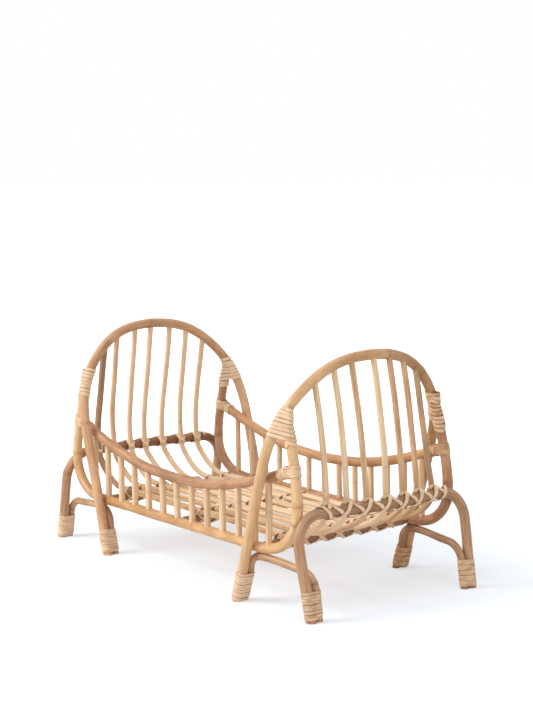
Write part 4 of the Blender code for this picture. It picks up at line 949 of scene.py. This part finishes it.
def ribbon(name, points, outs, width, seed, tone=0.0, nodes=(), step=0.0012):
    """One flat reed along its middle line, its face towards the given directions."""
    rng = random.Random(seed)
    line = np.array(points)
    length = float(lengths_along(line)[-1])
    work = bmesh.new()
    bmesh.ops.create_cube(work, size=1.0)
    bmesh.ops.scale(work, verts=work.verts, vec=(width, REED_THICKNESS, length))
    bmesh.ops.translate(work, verts=work.verts, vec=(0.0, 0.0, length / 2))
    walls = [e for e in work.edges if abs(e.verts[0].co.z - e.verts[1].co.z) > length / 2]
    bmesh.ops.bevel(work, geom=walls, offset=REED_THICKNESS * ROUNDED_SHARE, segments=2, profile=0.5,
                    affect="EDGES", material=-1)
    walls = [e for e in work.edges if abs(e.verts[0].co.z - e.verts[1].co.z) > length / 2]
    bmesh.ops.subdivide_edges(work, edges=walls, cuts=max(3, int(length / step)),
                              use_grid_fill=False)
    mark_lie(work, rng.uniform(0.0, 40.0), tone, length)
    halves = work.verts.layers.float.new("half_width")
    for vert in work.verts:
        vert[halves] = width / 2
    narrow = waver(rng, WIDTH_WANDER)
    for vert in work.verts:
        vert.co.x *= 1.0 + float(wave_at(narrow, vert.co.z * WIDTH_WAVES))
    bend_along(work, line, across=np.cross(np.gradient(line, axis=0), np.array(outs)))
    settle(work, name, REED, nodes, smooth_angle=55)


def hull_round(circles, axis):
    """A taut loop round one or two circles across the axis, as points and facing directions."""
    guess = ALONG_X if abs(axis[0]) < 0.8 else ALONG_Y
    first = guess - (guess @ axis) * axis
    first /= np.linalg.norm(first)
    second = np.cross(axis, first)
    points = []
    outs = []
    for angle in np.linspace(0.0, 2 * math.pi, HULL_STEPS + 1)[:-1]:
        way = math.cos(angle) * first + math.sin(angle) * second
        reaches = [centre @ way + radius for centre, radius in circles]
        centre, radius = circles[int(np.argmax(reaches))]
        points.append(centre + radius * way)
        outs.append(way)
    return np.array(points), np.array(outs)


def wind(canes, axis, level_of, turns, start_way, grip):
    """Middle line of a reed wound round canes. Each cane is a centre line and its radius at a level;
    level_of gives the level along the axis after some turns, and grip how far the reed's middle is
    then off the cane."""
    line = []
    outs = []
    for i in range(int(turns * POINTS_PER_TURN) + 1):
        turn = i / POINTS_PER_TURN
        level = level_of(turn)
        wound = canes(turn) if callable(canes) else canes
        circles = []
        for cane_line, radius in wound:
            heading = heading_at(cane_line, axis, level)
            # a cane that leans is cut aslant, and so it is wider
            lean = 1.0 / max(0.6, abs(heading @ axis))
            circles.append((at_level(cane_line, axis, level), radius(level) * lean + grip(turn)))
        points, ways = hull_round(circles, axis)
        loop = np.vstack([points, points[:1]])
        along = lengths_along(loop)
        offset = along[int(np.argmax(ways @ start_way))]
        place = (offset + (turn % 1.0) * along[-1]) % along[-1]
        nearest = min(int(np.searchsorted(along, place, side="right")) - 1, len(points) - 1)
        share = (place - along[nearest]) / max(1e-9, along[nearest + 1] - along[nearest])
        after = (nearest + 1) % len(points)
        line.append(points[nearest] + (points[after] - points[nearest]) * share)
        way = ways[nearest] + (ways[after] - ways[nearest]) * share
        outs.append(way / np.linalg.norm(way))
    return np.array(line), np.array(outs)


def plain_grip(turn):
    return REED_THICKNESS / 2 + REED_LIFT


def frame_radius(level):
    return FRAME_R


def brace_radius(level):
    return BRACE_R


# Feet: eight or nine turns round a leg and its brace end, and a part of one more
FOOT_LEVEL = 0.016             # where the leg's direction is taken
FOOT_LOW = 0.0036              # centre of the lowest turn
FOOT_HIGH = 0.0312             # centre of the highest turn
FOOT_TOPS = {("foot", "near", "inner"): 0.0362, ("foot", "near", "outer"): 0.0338,
             ("foot", "far", "outer"): 0.0352}    # where it differs
FOOT_PITCH = 0.00365
FOOT_STOP = 0.4                # the part of a turn at the end
FAR_OUTER_STOP = 0.9
FOOT_WANDER = 0.0006           # of the turns' level
FOOT_TONE = -0.05
FOOT_TONES = {("foot", "near", "inner"): 0.13, ("foot", "near", "outer"): -0.08,
              ("head", "near", "inner"): -0.02, ("head", "near", "outer"): 0.07,
              ("foot", "far", "inner"): -0.20}    # where it differs


def bind_foot(end, side, place, leg, brace_end):
    signs = 10 * ENDS[end] + SIDES[side]
    axis = heading_at(leg, UP, FOOT_LEVEL)
    low = at_level(leg, UP, FOOT_LOW) @ axis
    high = at_level(leg, UP, FOOT_TOPS.get((end, side, place), FOOT_HIGH)) @ axis
    stop = FAR_OUTER_STOP if (side, place) == ("far", "outer") else FOOT_STOP
    turns = round((high - low) / FOOT_PITCH) + stop
    uneven = waver(random.Random(5 + signs), FOOT_WANDER)

    def level_of(turn):
        return high - (high - low) * turn / turns + float(wave_at(uneven, turn * WAVE_PER_TURN))

    line, outs = wind([(leg, frame_radius), (brace_end, brace_radius)], axis, level_of, turns,
                      np.array([0.0, SIDES[side], 0.0]), plain_grip)
    ribbon("foot_reed_{}_{}_{}".format(end, side, place), line, outs, FOOT_REED,
           seed=305 + 4 * ENDS[end] + 2 * SIDES[side],
           tone=FOOT_TONES.get((end, side, place), FOOT_TONE))


def bind_feet():
    for (end, side), brace in BRACES.items():
        half = len(brace) // 2
        bind_foot(end, side, "inner", outer_half(ARCHES[end], end, side), brace[:half])
        bind_foot(end, side, "outer", outer_half(LEGS[end], end, side), brace[half:])


# Shoulders: the side frame's whittled end is bound to the hoop, then the frame alone
SHOULDER_LEVEL = 0.2195        # where the canes' direction is taken
SHOULDER_HIGH = 0.2385         # centre of the highest turn
SHOULDER_PITCH = 0.0047
SHOULDER_WANDER = 0.0007
# Turns round both canes: the reed leaves the hoop where it lies on the side frame
SHOULDER_PARTINGS = {("foot", "near"): 7.25, ("head", "far"): 7.25, ("head", "near"): 7.75,
                     ("foot", "far"): 7.75}
# And round the side frame alone
SHOULDER_TAILS = {("foot", "near"): 1.8, ("head", "far"): 1.7, ("head", "near"): 1.1,
                  ("foot", "far"): 2.0}
# the far head one is made lighter as painted light, for its side that lies in shade
SHOULDER_TONES_AND_PAINTED_LIGHT = {("foot", "near"): 0.05, ("head", "far"): 0.26, ("head", "near"): 0.02,
                  ("foot", "far"): -0.06}
SHOULDER_WAVE_PER_TURN = 0.07


def bind_shoulder(end, side):
    signs = 10 * ENDS[end] + SIDES[side]
    hoop = outer_half(ARCHES[end], end, side)
    side_frame = outer_quarter(SIDE_FRAMES[side], end, side)
    axis = heading_at(hoop, UP, SHOULDER_LEVEL) + heading_at(side_frame, UP, SHOULDER_LEVEL)
    axis /= np.linalg.norm(axis)
    along = lengths_along(side_frame)
    high = at_level(hoop, UP, SHOULDER_HIGH) @ axis
    parting = SHOULDER_PARTINGS[end, side]
    uneven = waver(random.Random(500 + signs), SHOULDER_WANDER)

    def whittled_radius(level):
        nearest = int(np.argmin(np.abs(side_frame @ axis - level)))
        return FRAME_R * whittled_share(along[-1] - along[nearest])

    def held(turn):
        both = [(hoop, frame_radius), (side_frame, whittled_radius)]
        return both if turn < parting else both[1:]

    def level_of(turn):
        wave = float(wave_at(uneven, turn * SHOULDER_WAVE_PER_TURN))
        return high - SHOULDER_PITCH * turn + wave

    line, outs = wind(held, axis, level_of, parting + SHOULDER_TAILS[end, side],
                      np.array([0.0, SIDES[side], 0.0]), plain_grip)
    ribbon("shoulder_reed_{}_{}".format(end, side), line, outs, SHOULDER_REED, seed=520 + signs,
           tone=SHOULDER_TONES_AND_PAINTED_LIGHT[end, side], nodes=["shoulder_binding_{}_{}".format(end, side)])


# Tees: each top rail end is wound, and four laps hold it against the side frame
TEE_LAPS = 4
TEE_LAP_PITCH = 0.93           # of the reed's width
TEE_LAP_TAIL = 0.0065          # laps reach this far back along the rail, from the side frame
TEE_LAP_TILT = 0.0003          # at most
RAIL_END_POINTS = 40           # of the rail's line give its direction at its end
TEE_TURNS = 4.6
TEE_PITCH = 0.0033
TEE_WINDING_GAP = 0.0050       # the winding starts this far from the side frame
TEE_WANDER = 0.0004
TEE_FIRST_GRIP = 1.3           # of the reed's thickness, as the first turn lies over the laps
TEE_GRIP = 0.6
TEE_TONE_RANGE = 0.05
# the far head tee is made lighter as painted light, for its side that lies in shade
TEE_TONES_AND_PAINTED_LIGHT = {("foot", "near"): 0.0, ("head", "far"): 0.15, ("head", "near"): 0.0,
             ("foot", "far"): -0.23}


def lap_round(height, post, inward, beside):
    """One lap from the rail's side round the back of the side frame to its other side."""
    reach = FRAME_R + REED_THICKNESS / 2 + REED_LIFT
    half_width = math.sqrt(max(reach ** 2 - height ** 2, 0.0))
    points = []
    outs = []
    for share in np.linspace(0.0, 1.0, 12)[:-1]:
        across = half_width + (reach - half_width) * share
        points.append((FRAME_R + TEE_LAP_TAIL) * (1 - share) * inward + across * beside
                      + height * post)
        outs.append(across * beside + height * (1 - share) * post)
    straight = len(points)
    for angle in np.linspace(0.0, math.pi, 19):
        way = math.cos(angle) * beside - math.sin(angle) * inward
        points.append(reach * way + height * post)
        outs.append(way)
    for i in reversed(range(straight)):
        points.append(points[i] - 2 * (points[i] @ beside) * beside)
        outs.append(outs[i] - 2 * (outs[i] @ beside) * beside)
    return np.array(points), np.array(outs)


def bind_tee(end, side):
    signs = 10 * ENDS[end] + SIDES[side]
    rng = random.Random(600 + signs)
    rail = outer_quarter(TOP_RAILS[side], end, side)
    side_frame = outer_quarter(SIDE_FRAMES[side], end, side)
    post = heading_at(side_frame, UP, TOP_RAIL_END_Z)
    joint = at_level(side_frame, UP, TOP_RAIL_END_Z)
    inward = rail[-RAIL_END_POINTS] - rail[-1]
    inward = inward - (inward @ post) * post
    inward /= np.linalg.norm(inward)
    beside = np.cross(post, inward)
    for lap in range(TEE_LAPS):
        height = (lap - (TEE_LAPS - 1) / 2) * TEE_REED * TEE_LAP_PITCH
        points, outs = lap_round(height, post, inward, beside)
        tilt = rng.uniform(-TEE_LAP_TILT, TEE_LAP_TILT)
        ribbon("tee_lap_{}_{}_{}".format(end, side, lap + 1), joint + points + tilt * post, outs,
               TEE_REED, seed=610 + 40 * ENDS[end] + 20 * SIDES[side] + lap,
               tone=TEE_TONES_AND_PAINTED_LIGHT[end, side] + rng.uniform(-TEE_TONE_RANGE, TEE_TONE_RANGE))
    start = at_level(rail, -inward, joint @ -inward - FRAME_R - TEE_WINDING_GAP) @ -inward
    uneven = waver(rng, TEE_WANDER)

    def level_of(turn):
        return start - TEE_PITCH * turn + float(wave_at(uneven, turn * WAVE_PER_TURN))

    def grip(turn):
        return REED_THICKNESS * (TEE_FIRST_GRIP if turn < 1 else TEE_GRIP)

    line, outs = wind([(rail, frame_radius)], -inward, level_of, TEE_TURNS,
                      np.array([0.0, SIDES[side], 0.0]), grip)
    ribbon("tee_winding_{}_{}".format(end, side), line, outs, TEE_REED, seed=640 + signs,
           tone=TEE_TONES_AND_PAINTED_LIGHT[end, side] + rng.uniform(-TEE_TONE_RANGE, TEE_TONE_RANGE))


# Cross rails: one reed crosses every cane from the left and back from the right. Each crossing is
# a place counted in canes, an angle round the rail, and for a few a height over the rail. One more
# turn goes round the rail before the first cane, and its mirror image after the last
RISING = {
    "head": [(-0.22, -88), (-0.05, -56), (0.25, -26), (0.52, 2), (0.74, 32), (0.86, 66), (0.97, 98),
             (1.12, 126), (1.12, 152), (1.0, 180), (0.87, 208), (0.74, 240)],
    "foot": [(-0.22, -88), (0.14, -62), (0.40, -30), (0.60, 10), (0.76, 50), (0.88, 78),
             (0.97, 98), (1.09, 124), (1.13, 152), (1.0, 180), (0.87, 210), (0.79, 242)],
}
FALLING = {
    "head": [(-0.25, 138), (-0.10, 112), (0.03, 84), (0.14, 54), (0.30, 26), (0.50, 0),
             (0.72, -28), (0.93, -60), (1.08, -98), (1.12, -140), (1.0, -180), (0.85, -208)],
    "foot": [(-0.27, 28, 0.0076), (-0.10, 20, 0.0090), (0.05, 32, 0.0086), (0.07, 62), (0.18, 34),
             (0.33, 2), (0.44, -32), (0.55, -64), (0.70, -98), (0.93, -140), (1.06, -172),
             (0.88, -200)],
}
START_TURN = [(-0.62, 150), (-0.50, 104), (-0.38, 52), (-0.25, 0), (-0.13, -55), (-0.05, -100),
              (0.0, -150), (0.04, -180), (0.08, -215)]
FALLING_HUMP = {"head": 0.0008, "foot": 0.0028}
RISING_HUMP = {"head": 0.0008, "foot": 0.0018}
START_HUMP = 0.0010
HUMP_ANGLE = 99                # where the reed stands off the rail's top the most
HUMP_SPREAD = 32
# lighter as painted light, for lashing faces turned away from the key lamp, most at the head
LASHING_TONES_AND_PAINTED_LIGHT = {"head": 0.20, "foot": 0.12}
LASHING_HALF = 3.36            # the crossings end this many canes from the middle one
STEPS_PER_POINT = 9


def beside_cane(canes_y, place):
    """The y of a place counted in canes, where one and a half is midway from cane 1 to cane 2."""
    inside = float(np.interp(place, range(CANE_COUNT), canes_y))
    return inside + (place - min(max(place, 0.0), CANE_COUNT - 1.0)) * CANE_PITCH


def round_rail(leg, canes_y, controls, lift, hump, canes=range(-1, CANE_COUNT), half=LASHING_HALF):
    """Points of one pass over the canes, each with the direction that it faces. The hump is how
    far the reed stands off the rail's top, over the turns that hold the cane."""
    points = []
    outs = []
    for i in canes:
        for share, angle, *height in controls:
            if abs(i + share - (CANE_COUNT - 1) / 2) > half:
                continue
            y = beside_cane(canes_y, i + share)
            crest = max(0.0, 1.0 - abs(angle - HUMP_ANGLE) / HUMP_SPREAD)
            turn = math.radians(angle)
            way = np.array([math.cos(turn), 0.0, math.sin(turn)])
            # behind the rail the reed passes over the cane that is there
            off = min(abs(y - other) for other in canes_y)
            behind = max(0.0, -math.cos(turn)) ** 1.5
            over = 2 * (END_R + FIT_GAP) * behind * math.exp(-(off / (1.5 * END_R)) ** 2)
            centre = np.array([rail_place(leg, y), y, LEG_RAIL_Z])
            if height:             # here the reed crosses the front of the cane, above the rail
                points.append(centre + np.array([REED_THICKNESS - FRAME_R, 0.0, height[0]]))
            else:
                reach = FRAME_R + REED_THICKNESS / 2 + LASHING_LIFT + lift + hump * crest
                points.append(centre + reach * way + np.array([-over, 0.0, 0.0]))
            outs.append(way)
    return points, outs


def smoothed(points, outs):
    """A smooth line through the points, with the facing directions carried along it."""
    points = np.array(points)
    line = spline_through(points, steps=len(points) * STEPS_PER_POINT)
    knots = lengths_along(points)
    along = np.linspace(0.0, knots[-1], len(line))
    ways = np.column_stack([np.interp(along, knots, np.array(outs)[:, i]) for i in range(3)])
    return line, ways / np.linalg.norm(ways, axis=1)[:, None]


def lash_rail(end):
    sign = ENDS[end]
    turned = np.array([sign, sign, 1.0])
    canes_y = sorted(float(at_level(END_CANES[end, i], UP, LEG_RAIL_Z)[1]) * sign
                     for i in range(CANE_COUNT))
    leg = LEGS[end]
    under = round_rail(leg, canes_y, FALLING[end], 0.0, FALLING_HUMP[end])
    over = round_rail(leg, canes_y, RISING[end], REED_THICKNESS, RISING_HUMP[end])
    start = round_rail(leg, canes_y, START_TURN, 0.0, START_HUMP, canes=(0,), half=math.inf)
    mirror = np.array([1.0, -1.0, 1.0])
    across = np.array([0.0, canes_y[0] + canes_y[-1], 0.0])
    stop = (np.array(start[0]) * mirror + across, np.array(start[1]) * mirror)
    passes = {"under": under, "over": over, "start": start, "stop": stop}
    for i, (name, (points, outs)) in enumerate(passes.items()):
        line, outs = smoothed(points, outs)
        ribbon("rail_lashing_{}_{}".format(end, name), line * turned, outs * turned,
               LASHING_REED[end], seed=660 + 6 * sign + i, tone=LASHING_TONES_AND_PAINTED_LIGHT[end], step=0.0010)


# Cross bars: the same crossed lashing over every pair of canes. Each crossing is a place counted
# in canes, and how far the reed lies to the side and up, in reaches. Where no height is given,
# the reed lies over the pair
BAR_CROSSING = [(-0.50, 0.20, -1.00), (-0.25, 0.75, -0.70), (-0.02, 1.00, -0.05), (0.20, 0.90, 0.55),
                (0.235, 0.60, None), (0.0, 0.0, None), (-0.235, -0.60, None), (-0.20, -0.90, 0.55),
                (0.02, -1.00, -0.05), (0.25, -0.75, -0.70)]
BAR_REACH = BAR_R + REED_THICKNESS / 2 + LASHING_LIFT
PAIR_TOP = BASE_CANE_Z + BASE_R - BAR_Z
PAIR_FALL = 0.0018             # the reed lies this much lower at a pair's edges
PAIR_EDGE = 0.235
BAR_LASHING_TONE = 0.02


def round_bar(x, lift):
    """One pass over all pairs of a bar: crossed on both faces and over the pair."""
    points = []
    outs = []
    reach = BAR_REACH + lift
    for i in range(CANE_COUNT):
        pair = (i - (CANE_COUNT - 1) / 2) * CANE_PITCH
        for share, across, height in BAR_CROSSING:
            if i == 0 and share == -0.50:    # no crossing comes before the first pair
                continue
            y = pair + share * CANE_PITCH
            if height is None:
                rise = PAIR_TOP + REED_THICKNESS / 2 + lift - PAIR_FALL * abs(share) / PAIR_EDGE
                points.append((x + across * BAR_REACH, y, BAR_Z + rise))
                outs.append((0.2 * across, share, 1.0))
            else:
                points.append((x + across * reach, y, BAR_Z + height * reach))
                outs.append((across, 0.0, height))
    return np.array(points), np.array(outs)


def lash_bars():
    for bar, (place, x) in enumerate(BARS.items()):
        for name, way, lift in (("under", 1, 0.0), ("over", -1, REED_THICKNESS)):
            points, outs = round_bar(x, lift)
            mirror = np.array([1.0, way, 1.0])
            line, outs = smoothed(points * mirror, outs * mirror)
            ribbon("bar_lashing_{}_{}".format(place, name), line, outs, BAR_REED,
                   seed=680 + 2 * bar + way, tone=BAR_LASHING_TONE, step=0.0011)


# The whole bed, in this order
make_hoops()
make_side_frames()
make_top_rails()
make_leg_frames()
make_braces()
make_cross_bars()
make_end_canes()
make_spindles()
bind_feet()
for end in ENDS:
    for side in SIDES:
        bind_shoulder(end, side)
for side in SIDES:
    for end in ENDS:
        bind_tee(end, side)
for end in ENDS:
    lash_rail(end)
lash_bars()


# Floor, light and camera
CAMERA_LENS = 84.23            # mm, on film 36 mm wide
CAMERA_PLACE = (1.6914, -1.2915, 0.5363)
CAMERA_DIP = 0.1244            # radians below level
CAMERA_HEADING = 0.9105        # radians round the upright, from looking along Y


def paper_floor():
    """Matt white paper that fades to plain white further out. What the camera sees of it is
    cooler, against the warm light that comes off the cane."""
    bpy.ops.mesh.primitive_plane_add(size=40.0, location=(0.0, 0.0, 0.0))
    floor = bpy.context.object
    floor.name = "floor"
    material, tree, shader = blank("matt_white_paper")
    shader.inputs["Base Color"].default_value = linear("#EDEEF0")
    shader.inputs["Roughness"].default_value = 0.9
    cool = add(tree, "ShaderNodeBsdfDiffuse", {"Color": linear("#CDD4DC")})
    seen_by_camera = add(tree, "ShaderNodeLightPath").outputs["Is Camera Ray"]
    spot = add(tree, "ShaderNodeTexCoord").outputs["Object"]
    far = add(tree, "ShaderNodeVectorMath", {0: spot}, operation="LENGTH").outputs["Value"]
    rise = add(tree, "ShaderNodeMapRange", {"Value": far, "From Min": 0.30, "From Max": 0.95,
                                            "To Min": 0.41, "To Max": 1.0}).outputs[0]
    glow = add(tree, "ShaderNodeEmission", {"Color": linear("#FFFFFF"), "Strength": rise})
    seen = add(tree, "ShaderNodeAddShader", {0: cool.outputs[0], 1: glow.outputs[0]})
    choice = add(tree, "ShaderNodeMixShader", {0: seen_by_camera, 1: shader.outputs[0],
                                               2: seen.outputs[0]})
    tree.links.new(choice.outputs[0], tree.nodes["Material Output"].inputs["Surface"])
    floor.data.materials.append(material)


def studio_world():
    """Even light from all round, and plain white where the camera or a reflection looks past."""
    world = bpy.data.worlds.new("studio")
    bpy.context.scene.world = world
    world.use_nodes = True
    tree = world.node_tree
    sky = tree.nodes["Background"]
    sky.inputs["Color"].default_value = linear("#FFFFFF")
    sky.inputs["Strength"].default_value = 0.50
    white = add(tree, "ShaderNodeBackground", {"Color": linear("#FFFFFF"), "Strength": 1.0})
    path = add(tree, "ShaderNodeLightPath")
    either = add(tree, "ShaderNodeMath", {0: path.outputs["Is Camera Ray"],
                                          1: path.outputs["Is Glossy Ray"]}, operation="MAXIMUM")
    choice = add(tree, "ShaderNodeMixShader", {0: either.outputs[0], 1: sky.outputs[0],
                                               2: white.outputs[0]})
    tree.links.new(choice.outputs[0], tree.nodes["World Output"].inputs["Surface"])


def soft_box(name, place, aim, size, power):
    lamp = bpy.data.lights.new(name, "AREA")
    lamp.shape = "RECTANGLE"
    lamp.size = size
    lamp.size_y = size
    lamp.energy = power
    holder = bpy.data.objects.new(name, lamp)
    holder.location = place
    holder.rotation_mode = "QUATERNION"
    holder.rotation_quaternion = (Vector(aim) - Vector(place)).to_track_quat("-Z", "Y")
    bpy.context.scene.collection.objects.link(holder)


def photo_camera():
    """The camera of the photograph, fitted by laying the drawn lines over it."""
    camera = bpy.data.cameras.new("photo_camera")
    camera.lens = CAMERA_LENS
    camera.sensor_width = 36.0
    holder = bpy.data.objects.new("photo_camera", camera)
    holder.location = CAMERA_PLACE
    holder.rotation_euler = (math.pi / 2 - CAMERA_DIP, 0.0, CAMERA_HEADING)
    bpy.context.scene.collection.objects.link(holder)
    bpy.context.scene.camera = holder


paper_floor()
studio_world()
soft_box("key_box", place=(-1.1, -2.3, 1.9), aim=(0.0, 0.0, 0.12), size=1.5, power=62.0)
soft_box("fill_box", place=(2.6, -0.4, 1.3), aim=(0.0, 0.0, 0.12), size=1.6, power=12.0)
soft_box("top_box", place=(0.0, -0.3, 2.7), aim=(0.0, 0.0, 0.1), size=2.0, power=14.0)
photo_camera()
bpy.context.scene.view_settings.view_transform = "Standard"
